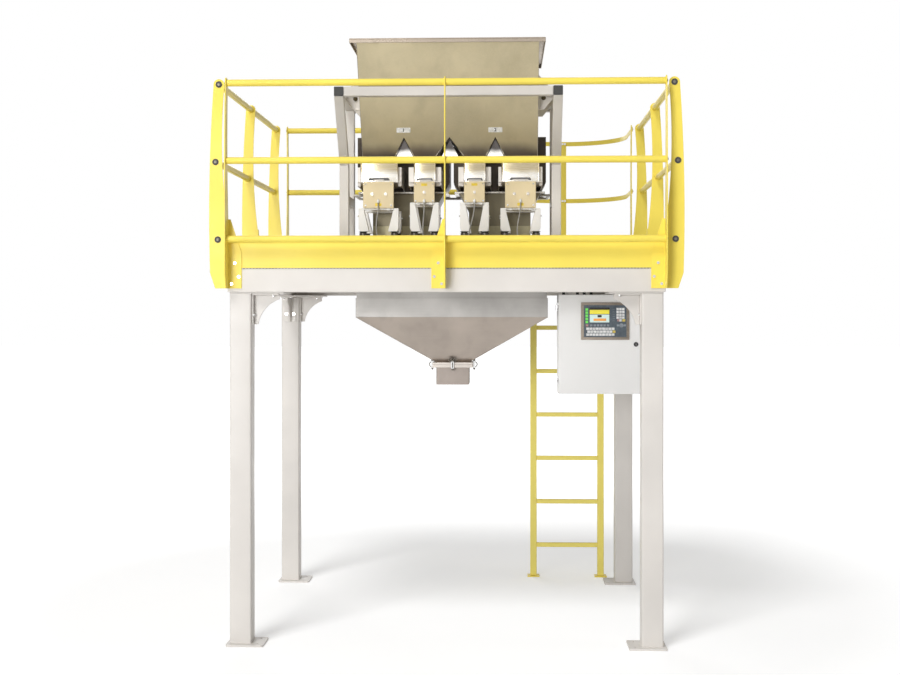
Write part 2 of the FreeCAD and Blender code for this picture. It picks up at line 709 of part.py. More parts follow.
def cage_hoop(z):
    """A flat bar round the ladder opening: two straight arms and a half circle at the back."""
    x0 = GATE_POST_X
    x1 = FACE_X + HOOP_BAR_THICKNESS
    radius = (x1 - x0) / 2
    centre = Vector((x0 + x1) / 2, CAGE_REAR_Y - radius, z - HOOP_BAR_HEIGHT / 2)
    start_y = FACE_REAR + HOOP_ARM_START
    t = HOOP_BAR_THICKNESS
    ring = Part.makeCylinder(radius, HOOP_BAR_HEIGHT, centre)
    ring = ring.cut(Part.makeCylinder(radius - t, HOOP_BAR_HEIGHT, centre))
    behind = block(x0, x1, centre.y, CAGE_REAR_Y, centre.z, centre.z + HOOP_BAR_HEIGHT)
    ring = ring.common(behind)
    for arm_x in (x0, x1 - t):
        arm = block(arm_x, arm_x + t, start_y, centre.y, centre.z, centre.z + HOOP_BAR_HEIGHT)
        ring = ring.fuse(arm)
    return ring.removeSplitter()


def cage():
    """Three hoops at the rail heights and the strap that joins them at the back."""
    hoops = [cage_hoop(z) for z, _ in RAILS]
    x = (GATE_POST_X + FACE_X + HOOP_BAR_THICKNESS) / 2
    half = CAGE_STRAP_WIDTH / 2
    radius = (FACE_X + HOOP_BAR_THICKNESS - GATE_POST_X) / 2 - HOOP_BAR_THICKNESS
    sagitta = radius - (radius * radius - half * half) ** 0.5
    y1 = CAGE_REAR_Y - HOOP_BAR_THICKNESS - sagitta - SEAM
    low = RAILS[2][0] - HOOP_BAR_HEIGHT / 2
    high = RAILS[0][0] + HOOP_BAR_HEIGHT / 2
    strap = block(x - half, x + half, y1 - HOOP_BAR_THICKNESS, y1, low, high)
    return hoops + [strap]


def hopper_frame():
    """Tubes that carry the feed hopper, by name of the node."""
    x0 = FRAME_TUBE_X
    x1 = FRAME_TUBE_X + TUBE
    z0 = TUBE_BOTTOM
    top_beam = block(x0, x1, FRAME_FRONT_Y, FRAME_REAR_Y, z0, FRAME_TOP)
    cap = block(x0, x1, FRAME_FRONT_Y - FRAME_CAP_THICKNESS, FRAME_FRONT_Y, z0, FRAME_TOP)
    rear_cap = block(x0, x1, FRAME_REAR_Y, FRAME_REAR_Y + FRAME_CAP_THICKNESS, z0, FRAME_TOP)
    front_leg = block(x0, x1, FRONT_LEG_Y, FRONT_LEG_Y + TUBE, DECK_TOP, FRONT_LEG_KNEE - SEAM)
    strut = prism(
        [
            Vector(x0, FRONT_LEG_Y, FRONT_LEG_KNEE),
            Vector(x0, FRONT_LEG_Y + TUBE, FRONT_LEG_KNEE),
            Vector(x0, FRAME_FRONT_Y + TUBE, z0),
            Vector(x0, FRAME_FRONT_Y, z0),
        ],
        Vector(TUBE, 0, 0),
    )
    rear_leg = block(x0, x1, REAR_LEG_Y, REAR_LEG_Y + TUBE, DECK_TOP, z0)
    brace_front = FRONT_LEG_Y + TUBE + SEAM
    brace = block(x0, x1, brace_front, REAR_LEG_Y - SEAM, BRACE_BOTTOM, BRACE_BOTTOM + TUBE)
    half = x0 - SEAM
    crossbars = [
        block(-half, half, FRAME_FRONT_Y, FRAME_FRONT_Y + TUBE, z0, FRAME_TOP),
        block(-half, half, FRAME_REAR_Y - TUBE, FRAME_REAR_Y, z0, FRAME_TOP),
    ]
    legs = both_sides(front_leg) + both_sides(strut) + both_sides(rear_leg) + both_sides(brace)
    return {
        "hopper_frame_beams": both_sides(top_beam) + crossbars,
        "hopper_frame_legs": legs,
        "end_plugs": both_sides(cap) + both_sides(rear_cap) + rail_plugs(),
    }


def hopper_brackets():
    """Four bracket plates between the side beams and the hopper walls."""
    x0 = HOPPER_HALF_WIDTH
    x1 = FRAME_TUBE_X
    low = TUBE_BOTTOM - HOPPER_BRACKET_DROP
    points = [
        (x0, low),
        (x0 + HOPPER_BRACKET_TOE, low),
        (x1, TUBE_BOTTOM),
        (x1, FRAME_TOP),
        (x0, FRAME_TOP + HOPPER_BRACKET_RISE),
    ]
    brackets = []
    for y in (HOPPER_BRACKET_FRONT_Y, HOPPER_BRACKET_REAR_Y):
        corners = [Vector(x, y - HOPPER_BRACKET_THICKNESS / 2, z) for x, z in points]
        brackets += both_sides(prism(corners, Vector(0, HOPPER_BRACKET_THICKNESS, 0)))
    return brackets


def divider_outlines():
    """Apex and feet of the three inverted V dividers, as (left, apex, right) along X."""
    coarse = (COARSE_OUTLET_INNER + FINE_OUTLET_OUTER) / 2
    return (
        (-COARSE_OUTLET_INNER, -coarse, -FINE_OUTLET_OUTER),
        (-FINE_OUTLET_INNER, 0.0, FINE_OUTLET_INNER),
        (FINE_OUTLET_OUTER, coarse, COARSE_OUTLET_INNER),
    )


def roof_prism(left, apex, right, top, front, rear):
    """A triangular prism through the hopper from its bottom edge up to top."""
    corners = ((left, HOPPER_BOTTOM), (right, HOPPER_BOTTOM), (apex, top))
    return prism([Vector(x, front, z) for x, z in corners], Vector(0, rear - front, 0))


def feed_hopper():
    """Hopper walls notched for the dividers, and the dividers between them."""
    low = (-HOPPER_HALF_WIDTH, HOPPER_HALF_WIDTH, HOPPER_BOTTOM_FRONT_Y, HOPPER_BOTTOM_REAR_Y)
    high = (-HOPPER_HALF_WIDTH, HOPPER_HALF_WIDTH, HOPPER_TOP_FRONT_Y, HOPPER_TOP_REAR_Y)
    walls = ring_of_panels(low, high, HOPPER_BOTTOM, HOPPER_TOP, SHEET)
    section = [
        Vector(-HOPPER_HALF_WIDTH, HOPPER_BOTTOM_FRONT_Y, HOPPER_BOTTOM),
        Vector(-HOPPER_HALF_WIDTH, HOPPER_BOTTOM_REAR_Y, HOPPER_BOTTOM),
        Vector(-HOPPER_HALF_WIDTH, HOPPER_TOP_REAR_Y, HOPPER_TOP),
        Vector(-HOPPER_HALF_WIDTH, HOPPER_TOP_FRONT_Y, HOPPER_TOP),
    ]
    inside = prism(section, Vector(2 * HOPPER_HALF_WIDTH, 0, 0))
    dividers = []
    front = HOPPER_TOP_FRONT_Y
    rear = HOPPER_TOP_REAR_Y
    top = HOPPER_BOTTOM + DIVIDER_HEIGHT
    for left, apex, right in divider_outlines():
        outer = roof_prism(left, apex, right, top, front, rear)
        slope = DIVIDER_HEIGHT / (apex - left)
        drop = SHEET * (1 + slope * slope) ** 0.5
        shift = drop / slope
        inner = roof_prism(left + shift, apex, right - shift, top - drop, front, rear)
        dividers.append(outer.cut(inner).common(inside))
        walls[0] = walls[0].cut(outer)
        walls[2] = walls[2].cut(outer)
    return walls, dividers


def hopper_rim():
    """The flange round the hopper's mouth and the lip turned down at its edge."""
    half = HOPPER_HALF_WIDTH + RIM_WIDTH
    edge = (-half, half, HOPPER_TOP_FRONT_Y - RIM_WIDTH, HOPPER_TOP_REAR_Y + RIM_WIDTH)
    flange = ring_of_panels(edge, edge, HOPPER_TOP, HOPPER_TOP + RIM_THICKNESS, RIM_WIDTH)
    lip = ring_of_panels(edge, edge, HOPPER_TOP - RIM_LIP, HOPPER_TOP - SEAM, SHEET)
    return flange + lip


def hopper_outlets():
    """Four short necks under the hopper, two coarse and two fine."""
    y0 = HOPPER_BOTTOM_FRONT_Y
    y1 = HOPPER_BOTTOM_REAR_Y
    necks = []
    for inner, outer in ((COARSE_OUTLET_INNER, HOPPER_HALF_WIDTH), (FINE_OUTLET_INNER, FINE_OUTLET_OUTER)):
        for x0, x1 in ((inner, outer), (-outer, -inner)):
            mouth = (x0, x1, y0, y1)
            necks += ring_of_panels(mouth, mouth, HOPPER_BOTTOM - OUTLET_LENGTH, HOPPER_BOTTOM, SHEET)
    return necks


def feeder_places():
    """Centre, inlet, tray, drive and yoke sizes of the four feeders."""
    coarse = (
        COARSE_INLET_WIDTH,
        COARSE_TRAY_WIDTH,
        COARSE_DRIVE_WIDTH,
        COARSE_DRIVE_HEIGHT,
        COARSE_YOKE_WIDTH,
    )
    fine = (FINE_INLET_WIDTH, FINE_TRAY_WIDTH, FINE_DRIVE_WIDTH, FINE_DRIVE_HEIGHT, FINE_YOKE_WIDTH)
    places = []
    for side in SIDES:
        places.append((side * COARSE_FEEDER_X, coarse))
        places.append((side * FINE_FEEDER_X, fine))
    return places


def yoke_leg(outer_x, inwards, y0, top):
    """One tapered leg of a yoke; inwards is 1 where the yoke's middle lies towards +X."""
    z0 = YOKE_BOTTOM
    points = [
        (outer_x, z0 + YOKE_CHAMFER),
        (outer_x + inwards * YOKE_CHAMFER / 2, z0),
        (outer_x + inwards * YOKE_LEG_FOOT, z0),
        (outer_x + inwards * YOKE_LEG_TOP, top),
        (outer_x, top),
    ]
    return prism([Vector(x, y0, z) for x, z in points], Vector(0, YOKE_DEPTH, 0))


def feeders():
    """Every piece of the four feeders, by name of the node."""
    inlet_top = HOPPER_BOTTOM - OUTLET_LENGTH - INLET_TOP_GAP
    pieces = {}
    for name in ("feeder_inlets", "feeder_trays", "feeder_drives", "feeder_yokes", "feeder_feet"):
        pieces[name] = []
    for x, (inlet, tray, drive, drive_height, yoke) in feeder_places():
        half = inlet / 2
        pieces["feeder_inlets"].append(
            block(x - half, x + half, INLET_FRONT_Y, INLET_FRONT_Y + SHEET, TRAY_FLOOR, inlet_top))
        for side in SIDES:
            edge = x + side * half
            start_y = INLET_FRONT_Y + SHEET + SEAM
            pieces["feeder_inlets"].append(
                block(edge, edge - side * SHEET, start_y, INLET_REAR_Y, TRAY_FLOOR, inlet_top))
        half = tray / 2 - SHEET - SEAM
        pieces["feeder_trays"].append(
            block(x - half, x + half, INLET_FRONT_Y, TRAY_REAR_Y, TRAY_UNDERSIDE, TRAY_FLOOR))
        for side in SIDES:
            edge = x + side * tray / 2
            low = TRAY_FLOOR - TRAY_SKIRT
            high = TRAY_FLOOR + TRAY_SIDE_HEIGHT
            pieces["feeder_trays"].append(
                block(edge, edge - side * SHEET, TRAY_FRONT_Y, TRAY_REAR_Y, low, high))
            near = x + side * (inlet / 2 + SEAM)
            far = edge - side * (SHEET + SEAM)
            y1 = TRAY_FRONT_Y + SHEET
            for z0, z1 in ((low, TRAY_UNDERSIDE - SEAM), (TRAY_FLOOR + SEAM, high)):
                pieces["feeder_trays"].append(block(near, far, TRAY_FRONT_Y, y1, z0, z1))
        drive_bottom = TRAY_UNDERSIDE - drive_height
        half = drive / 2
        pieces["feeder_drives"].append(
            block(x - half, x + half, DRIVE_FRONT_Y, TRAY_FRONT_Y, drive_bottom, TRAY_UNDERSIDE))
        half = drive / 2 * DRIVE_BLOCK_SHARE
        pieces["feeder_drives"].append(
            block(x - half, x + half, TRAY_FRONT_Y + SEAM, DRIVE_BLOCK_REAR_Y, drive_bottom, TRAY_UNDERSIDE))
        half = yoke / 2
        for y in (YOKE_FRONT_Y, YOKE_REAR_Y):
            bar = block(x - half, x + half, y, y + YOKE_DEPTH, drive_bottom - YOKE_BAR, drive_bottom)
            pieces["feeder_yokes"].append(bar)
            for side in SIDES:
                leg = yoke_leg(x + side * half, -side, y, drive_bottom - YOKE_BAR - SEAM)
                pieces["feeder_yokes"].append(leg)
                foot_x = x + side * (half - FEEDER_FOOT_RADIUS)
                centre = Vector(foot_x, y + YOKE_DEPTH / 2, BASE_RAIL_TOP)
                foot = Part.makeCylinder(FEEDER_FOOT_RADIUS, FEEDER_FOOT_HEIGHT, centre)
                pieces["feeder_feet"].append(foot)
    return pieces


def feeder_base():
    """Two rails under the feeders' feet and the posts that stand them on the deck."""
    rails = []
    posts = []
    for y in (YOKE_FRONT_Y, YOKE_REAR_Y):
        half = BASE_RAIL_HALF_LENGTH
        rails.append(block(-half, half, y, y + YOKE_DEPTH, BASE_RAIL_BOTTOM, BASE_RAIL_TOP))
        top = BASE_RAIL_BOTTOM - SEAM
        posts += both_sides(block(half - BASE_POST, half, y, y + BASE_POST, DECK_TOP, top))
    return rails + posts


def bin_section(x0, x1, z0, z1):
    """Outline of a weigh bin seen from the front: upright, tapered below its knee, with an upright outlet."""
    return [
        (x0, z1),
        (x0, BIN_KNEE),
        (x0 + BIN_TAPER, BIN_OUTLET_TOP),
        (x0 + BIN_TAPER, z0),
        (x1 - BIN_TAPER, z0),
        (x1 - BIN_TAPER, BIN_OUTLET_TOP),
        (x1, BIN_KNEE),
        (x1, z1),
    ]


def bin_inset():
    """How far a bin's side has drawn in at the top of its flange."""
    return BIN_TAPER * (BIN_KNEE - BIN_FLANGE_TOP) / BIN_TAPER_HEIGHT


def weigh_bin():
    """Front, rear and side plates of the right weigh bin and the flange round it."""
    section = bin_section(BIN_INNER_X, BIN_OUTER_X, BIN_BOTTOM, BIN_TOP)
    front = prism([Vector(x, BIN_FRONT_Y, z) for x, z in section], Vector(0, SHEET, 0))
    rear = prism([Vector(x, BIN_REAR_Y - SHEET, z) for x, z in section], Vector(0, SHEET, 0))
    low = TRAY_FLOOR - TRAY_SKIRT - TRAY_CLEARANCE
    high = TRAY_FLOOR + TRAY_SIDE_HEIGHT + TRAY_CLEARANCE
    for x, width in ((COARSE_FEEDER_X, COARSE_TRAY_WIDTH), (FINE_FEEDER_X, FINE_TRAY_WIDTH)):
        half = width / 2 + TRAY_CLEARANCE
        front = front.cut(block(x - half, x + half, BIN_FRONT_Y, BIN_FRONT_Y + SHEET, low, high))
    y0 = BIN_FRONT_Y + SHEET + SEAM
    y1 = BIN_REAR_Y - SHEET - SEAM
    plates = [front, rear]
    for x, inwards in ((BIN_INNER_X, 1), (BIN_OUTER_X, -1)):
        plates.append(block(x, x + inwards * SHEET, y0, y1, BIN_KNEE, BIN_TOP))
        knee = BIN_KNEE - SEAM
        outlet = x + inwards * BIN_TAPER
        points = [
            (x, knee),
            (x + inwards * SHEET, knee),
            (outlet + inwards * SHEET, BIN_OUTLET_TOP),
            (outlet, BIN_OUTLET_TOP),
        ]
        plates.append(prism([Vector(px, y0, pz) for px, pz in points], Vector(0, y1 - y0, 0)))
        top = BIN_OUTLET_TOP - SEAM
        plates.append(block(outlet, outlet + inwards * SHEET, y0, y1, BIN_BOTTOM, top))
    inset = bin_inset()
    width = BIN_FLANGE_WIDTH
    edge = (
        BIN_INNER_X + inset - width,
        BIN_OUTER_X - inset + width,
        BIN_FRONT_Y - width,
        BIN_REAR_Y + width,
    )
    flange = ring_of_panels(edge, edge, BIN_FLANGE_TOP - BIN_FLANGE_THICKNESS, BIN_FLANGE_TOP, width)
    return plates, flange


def bin_supports():
    """The bar under the bins' rear flanges, its arms from the frame legs, and a lug under each side flange."""
    top = BIN_FLANGE_TOP - BIN_FLANGE_THICKNESS
    low = top - BIN_BAR_THICKNESS
    rear = BIN_REAR_Y + BIN_BAR_DEPTH
    arm_x = FRAME_TUBE_X - BIN_ARM_WIDTH
    half = arm_x - SEAM
    bar = block(-half, half, BIN_REAR_Y, rear, low, top)
    arm = block(arm_x, FRAME_TUBE_X, REAR_LEG_Y, rear, low, top)
    lug = block(BIN_OUTER_X - bin_inset(), half, REAR_LEG_Y, REAR_LEG_Y + TUBE, low, top)
    return [bar] + both_sides(arm) + both_sides(lug)


def collector_box(half_width, front, rear):
    """Outside edges of a box centred on the collector."""
    return (COLLECTOR_X - half_width, COLLECTOR_X + half_width, front, rear)


def collector():
    """Collar, skirt, cone, flanges and spout, by name of the node."""
    wall = COLLECTOR_SHEET
    collar = collector_box(COLLAR_HALF_WIDTH, COLLAR_FRONT_Y, COLLAR_REAR_Y)
    skirt = collector_box(COLLECTOR_HALF_WIDTH, COLLECTOR_FRONT_Y, COLLECTOR_REAR_Y)
    half = SPOUT_HALF_WIDTH
    spout = collector_box(half, COLLECTOR_MIDDLE_Y - half, COLLECTOR_MIDDLE_Y + half)
    wide = half + CONE_FLANGE_WIDTH
    flange = collector_box(wide, COLLECTOR_MIDDLE_Y - wide, COLLECTOR_MIDDLE_Y + wide)
    cone = ring_of_panels(spout, skirt, CONE_BOTTOM, SKIRT_BOTTOM, wall)
    ring = CONE_FLANGE_WIDTH + wall
    cone_flange = ring_of_panels(flange, flange, SPOUT_FLANGE_TOP + SEAM, CONE_BOTTOM, ring)
    spout_flange = ring_of_panels(flange, flange, SPOUT_TOP, SPOUT_FLANGE_TOP, ring)
    return {
        "collector_collar": ring_of_panels(collar, collar, SKIRT_TOP - COLLAR_LAP, BEAM_TOP, wall),
        "collector_skirt": ring_of_panels(skirt, skirt, SKIRT_BOTTOM, SKIRT_TOP, wall),
        "collector_cone": cone,
        "spout_flanges": cone_flange + spout_flange,
        "discharge_spout": ring_of_panels(spout, spout, SPOUT_BOTTOM, SPOUT_TOP, wall),
    }


def spout_clamps():
    """Four clamps that hold the two flanges together, one at the middle of each side."""
    reach = SPOUT_HALF_WIDTH + CONE_FLANGE_WIDTH
    z0 = SPOUT_TOP - CLAMP_OVERRUN
    z1 = CONE_BOTTOM + CLAMP_OVERRUN
    clamp = block(-CLAMP_WIDTH / 2, CLAMP_WIDTH / 2, -reach - CLAMP_DEPTH, -reach, z0, z1)
    clamps = []
    for angle in (0, 90, 180, 270):
        turned = clamp.copy()
        turned.rotate(Vector(0, 0, 0), Vector(0, 0, 1), angle)
        turned.translate(Vector(COLLECTOR_X, COLLECTOR_MIDDLE_Y, 0))
        clamps.append(turned)
    return clamps


def cabinet():
    """The cabinet's back and four walls, and the hangers under the deck beams."""
    t = CABINET_SHEET
    y0 = CABINET_BODY_FRONT
    y1 = CABINET_REAR - t - SEAM
    back = block(CABINET_LEFT, CABINET_RIGHT, CABINET_REAR - t, CABINET_REAR, CABINET_BOTTOM, CABINET_TOP)
    floor = block(CABINET_LEFT, CABINET_RIGHT, y0, y1, CABINET_BOTTOM, CABINET_BOTTOM + t)
    roof = block(CABINET_LEFT, CABINET_RIGHT, y0, y1, CABINET_TOP - t, CABINET_TOP)
    z0 = CABINET_BOTTOM + t + SEAM
    z1 = CABINET_TOP - t - SEAM
    left = block(CABINET_LEFT, CABINET_LEFT + t, y0, y1, z0, z1)
    right = block(CABINET_RIGHT - t, CABINET_RIGHT, y0, y1, z0, z1)
    hangers = []
    for beam_x in (STRINGER_BEAM_INNER, STRINGER_BEAM_OUTER):
        x0 = beam_x + (STRINGER_BEAM_WIDTH - HANGER_SIZE) / 2
        for y in (y0 + HANGER_INSET, CABINET_REAR - HANGER_INSET - HANGER_SIZE):
            hangers.append(block(x0, x0 + HANGER_SIZE, y, y + HANGER_SIZE, CABINET_TOP, CROSS_BEAM_BOTTOM))
    return [back, floor, roof, left, right], hangers


def door():
    """Door leaf with its operator panel and lock."""
    y0 = CABINET_FRONT_Y
    leaf = block(CABINET_LEFT, CABINET_RIGHT, y0, y0 + DOOR_THICKNESS, CABINET_BOTTOM, CABINET_TOP)
    x0 = CABINET_LEFT + PANEL_LEFT
    z0 = CABINET_BOTTOM + PANEL_BOTTOM
    panel = block(x0, x0 + PANEL_WIDTH, y0 - PANEL_THICKNESS, y0, z0, z0 + PANEL_HEIGHT)
    centre = Vector(CABINET_RIGHT - LOCK_INSET, y0 - LOCK_THICKNESS, CABINET_BOTTOM + CABINET_HEIGHT / 2)
    lock = Part.makeCylinder(LOCK_RADIUS, LOCK_THICKNESS, centre, Vector(0, 1, 0))
    return leaf, panel, lock


def hinge_heights():
    """Middles of the two hinges."""
    return (CABINET_BOTTOM + HINGE_EDGE, CABINET_TOP - HINGE_EDGE)


def hinges():
    """Sleeves fixed to the cabinet, and pins with their leaves fixed to the door."""
    sleeves = []
    pins = []
    for z in hinge_heights():
        base = z - HINGE_SLEEVE_LENGTH / 2
        sleeve = Part.makeCylinder(HINGE_SLEEVE_RADIUS, HINGE_SLEEVE_LENGTH, Vector(HINGE_X, HINGE_Y, base))
        bridge = block(
            HINGE_X, HINGE_X + HINGE_LEAF_THICKNESS,
            HINGE_Y, CABINET_BODY_FRONT + 2 * DOOR_THICKNESS, base, base + HINGE_SLEEVE_LENGTH)
        pad = block(
            HINGE_X, CABINET_LEFT,
            CABINET_BODY_FRONT + DOOR_THICKNESS, CABINET_BODY_FRONT + 2 * DOOR_THICKNESS,
            base, base + HINGE_SLEEVE_LENGTH)
        bore = Part.makeCylinder(
            HINGE_PIN_RADIUS + HINGE_CLEARANCE, HINGE_SLEEVE_LENGTH, Vector(HINGE_X, HINGE_Y, base))
        sleeves.append(sleeve.fuse(bridge).fuse(pad).cut(bore).removeSplitter())
        top = base + HINGE_SLEEVE_LENGTH + HINGE_CLEARANCE
        leaf = block(
            HINGE_X - HINGE_PIN_RADIUS, CABINET_LEFT,
            HINGE_Y - HINGE_PIN_RADIUS, HINGE_Y + HINGE_PIN_RADIUS, top, top + HINGE_LEAF_HEIGHT)
        pin = Part.makeCylinder(
            HINGE_PIN_RADIUS, HINGE_SLEEVE_LENGTH + HINGE_CLEARANCE, Vector(HINGE_X, HINGE_Y, base))
        pins.append(pin.fuse(leaf).removeSplitter())
    return sleeves, pins


def route_tube(points, radius):
    """A tube along straight runs, with an arc at each point as large as its two runs allow."""
    edges = []
    start = points[0]
    for before, corner, after in zip(points, points[1:], points[2:]):
        back = (before - corner).normalize()
        ahead = (after - corner).normalize()
        cut = CABLE_SHORTEST_SHARE * min((before - corner).Length, (after - corner).Length)
        middle = (back + ahead).normalize()
        half_angle = back.getAngle(ahead) / 2
        bend_radius = cut * math.tan(half_angle)
        depth = bend_radius / math.sin(half_angle) - bend_radius
        first = corner + back * cut
        last = corner + ahead * cut
        edges.append(Part.LineSegment(start, first))
        edges.append(Part.Arc(first, corner + middle * depth, last))
        start = last
    edges.append(Part.LineSegment(start, points[-1]))
    path = Part.Wire([edge.toShape() for edge in edges])
    ring = Part.Wire(Part.makeCircle(radius, points[0], points[1] - points[0]))
    return path.makePipeShell([ring], True, False)


def cable_route(x, steps, bottom):
    """Points of a feeder cable, from its gland down to the port in the duct."""
    points = [Vector(x + dx, CABLE_Y + dy, GLAND_BOTTOM - down) for dx, dy, down in steps]
    points[-1].z = bottom
    return points


def feeder_cables():
    """The four feeder cables, and where they meet the duct, by name of the node."""
    routes = (
        ("feeder_cable_coarse_left", -COARSE_FEEDER_X, COARSE_LEFT_ROUTE),
        ("feeder_cable_fine_left", -FINE_FEEDER_X, FINE_LEFT_ROUTE),
        ("feeder_cable_fine_right", FINE_FEEDER_X, FINE_RIGHT_ROUTE),
        ("feeder_cable_coarse_right", COARSE_FEEDER_X, COARSE_RIGHT_ROUTE),
    )
    cables = {}
    ends = []
    for name, x, steps in routes:
        points = cable_route(x, steps, DUCT_PORT_TOP)
        cables[name] = route_tube(points, CABLE_RADIUS)
        ends.append(points[-1])
    return cables, ends


def cable_glands(ends):
    """Glands on the drives, ports on the duct and the row of glands on the cabinet's top."""
    glands = []
    for x, _ in feeder_places():
        half = GLAND_WIDTH / 2
        glands.append(
            block(
                x - half, x + half, DRIVE_FRONT_Y - GLAND_DEPTH, DRIVE_FRONT_Y,
                GLAND_BOTTOM, GLAND_BOTTOM + GLAND_HEIGHT))
    for end in ends:
        seat = Vector(end.x, end.y, DUCT_TOP)
        glands.append(Part.makeCylinder(DUCT_PORT_RADIUS, DUCT_PORT_HEIGHT, seat))
    for n in range(CABINET_GLAND_COUNT):
        x = CABINET_LEFT + CABINET_GLAND_INSET + n * CABINET_GLAND_PITCH
        seat = Vector(x, CABINET_GLAND_Y, CABINET_TOP)
        glands.append(Part.makeCylinder(CABINET_GLAND_RADIUS, CABINET_GLAND_HEIGHT, seat))
    return glands


def cable_duct():
    """The closed duct on the deck in front of the feeders."""
    return block(-DUCT_HALF_LENGTH, DUCT_HALF_LENGTH, DUCT_FRONT_Y, DUCT_REAR_Y, DECK_TOP, DUCT_TOP)


def beams():
    """Perimeter beams, and the cross beams with the short beams between them, by name of the node."""
    t = BEAM_THICKNESS
    front = block(-FACE_X, FACE_X, FACE_FRONT, FACE_FRONT + t, BEAM_BOTTOM, BEAM_TOP)
    rear = block(-FACE_X, FACE_X, FACE_REAR - t, FACE_REAR, BEAM_BOTTOM, BEAM_TOP)
    right = block(FACE_X - t, FACE_X, FACE_FRONT + t, FACE_REAR - t, BEAM_BOTTOM, BEAM_TOP)
    inner_x = FACE_X - t
    cross = []
    for y in (CROSS_BEAM_FRONT_Y, COLLAR_REAR_Y):
        cross.append(block(-inner_x, inner_x, y, y + CROSS_BEAM_THICKNESS, CROSS_BEAM_BOTTOM, BEAM_TOP))
    y0 = COLLAR_FRONT_Y + SEAM
    y1 = COLLAR_REAR_Y - SEAM
    for x in (STRINGER_BEAM_INNER, STRINGER_BEAM_OUTER):
        cross += both_sides(block(x, x + STRINGER_BEAM_WIDTH, y0, y1, CROSS_BEAM_BOTTOM, BEAM_TOP))
    return {
        "beam_front": front,
        "beam_rear": rear,
        "beams_sides": group(both_sides(right)),
        "deck_beams": group(cross),
    }


def platform_nodes():
    """Legs, beams, deck, guard rail and ladder, by name of the node."""
    nodes = {}
    rear_y = FRAME_DEPTH - LEG_SIZE
    for name, side, y in (
        ("leg_front_left", -1, 0.0),
        ("leg_front_right", 1, 0.0),
        ("leg_rear_left", -1, rear_y),
        ("leg_rear_right", 1, rear_y),
    ):
        nodes[name] = leg_column(side, y)
    nodes["foot_plates"] = group([foot_plate(side, y) for side in SIDES for y in (0.0, rear_y)])
    nodes["head_plates"] = group([head_plate(side, rear) for side in SIDES for rear in (False, True)])
    nodes["gussets"] = group(all_gussets())
    nodes.update(beams())
    nodes["deck_panels"] = group(deck_panels())
    nodes["toe_boards"] = group(toe_boards())
    nodes["guard_posts_front"] = group(front_posts())
    nodes["guard_posts_sides"] = group(side_posts(-1) + side_posts(1))
    nodes["guard_posts_rear"] = group(rear_posts())
    nodes["rails_front"] = group(front_rails())
    nodes["rails_sides"] = group(side_rails(-1) + side_rails(1))
    nodes["rails_rear"] = group(rear_rails())
    stringers, rungs, fixings = ladder()
    nodes["ladder_stringers"] = group(stringers)
    nodes["ladder_rungs"] = group(rungs)
    nodes["ladder_fixings"] = group(fixings)
    nodes["ladder_cage"] = group(cage())
    return nodes


def machine_nodes():
    """Hopper, feeders, weigh bins and collector, by name of the node."""
    nodes = {}
    for name, pieces in hopper_frame().items():
        nodes[name] = group(pieces)
    nodes["hopper_brackets"] = group(hopper_brackets())
    walls, dividers = feed_hopper()
    nodes["feed_hopper"] = group(walls)
    nodes["hopper_dividers"] = group(dividers)
    nodes["hopper_rim"] = group(hopper_rim())
    nodes["hopper_outlets"] = group(hopper_outlets())
    for name, pieces in feeders().items():
        nodes[name] = group(pieces)
    nodes["feeder_base"] = group(feeder_base())
    plates, bin_flange = weigh_bin()
    nodes["weigh_bin_right"] = group(plates)
    nodes["weigh_bin_left"] = group([mirrored(shape) for shape in plates])
    nodes["weigh_bin_flanges"] = group(bin_flange + [mirrored(shape) for shape in bin_flange])
    nodes["weigh_bin_supports"] = group(bin_supports())
    for name, pieces in collector().items():
        nodes[name] = group(pieces)
    nodes["spout_clamps"] = group(spout_clamps())
    cables, ends = feeder_cables()
    nodes.update(cables)
    nodes["cable_glands"] = group(cable_glands(ends))
    nodes["cable_duct"] = cable_duct()
    return nodes


def cabinet_nodes():
    """The control cabinet with its door, by name of the node."""
    body, hangers = cabinet()
    leaf, panel, lock = door()
    sleeves, pins = hinges()
    return {
        "cabinet_body": group(body),
        "cabinet_hangers": group(hangers),
        "cabinet_door": leaf,
        "operator_panel": panel,
        "door_lock": lock,
        "cabinet_hinge_sleeves": group(sleeves),
        "cabinet_hinge_pins": group(pins),
    }


def everything():
    """Every node of the part and its shape, as measured from the front legs."""
    nodes = platform_nodes()
    nodes.update(machine_nodes())
    nodes.update(cabinet_nodes())
    return nodes


def middle_y(nodes):
    """Middle of the part's own box along Y."""
    box = group(list(nodes.values())).optimalBoundingBox(False, False)
    return (box.YMin + box.YMax) / 2


def export_parts():
    """Move each node to the part's own origin and write it."""
    os.makedirs("parts", exist_ok=True)
    nodes = everything()
    shift = Vector(0, -middle_y(nodes), 0)
    for name, shape in nodes.items():
        shape.translate(shift)
        shape.exportStep("parts/" + name + ".step")


export_parts()
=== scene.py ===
"""Bag filling machine on a raised platform: finishes, small parts, studio and camera."""

import logging
import math
from dataclasses import dataclass
from enum import Enum
from typing import Iterable, Sequence

import bmesh
import bpy
from mathutils import Matrix, Vector


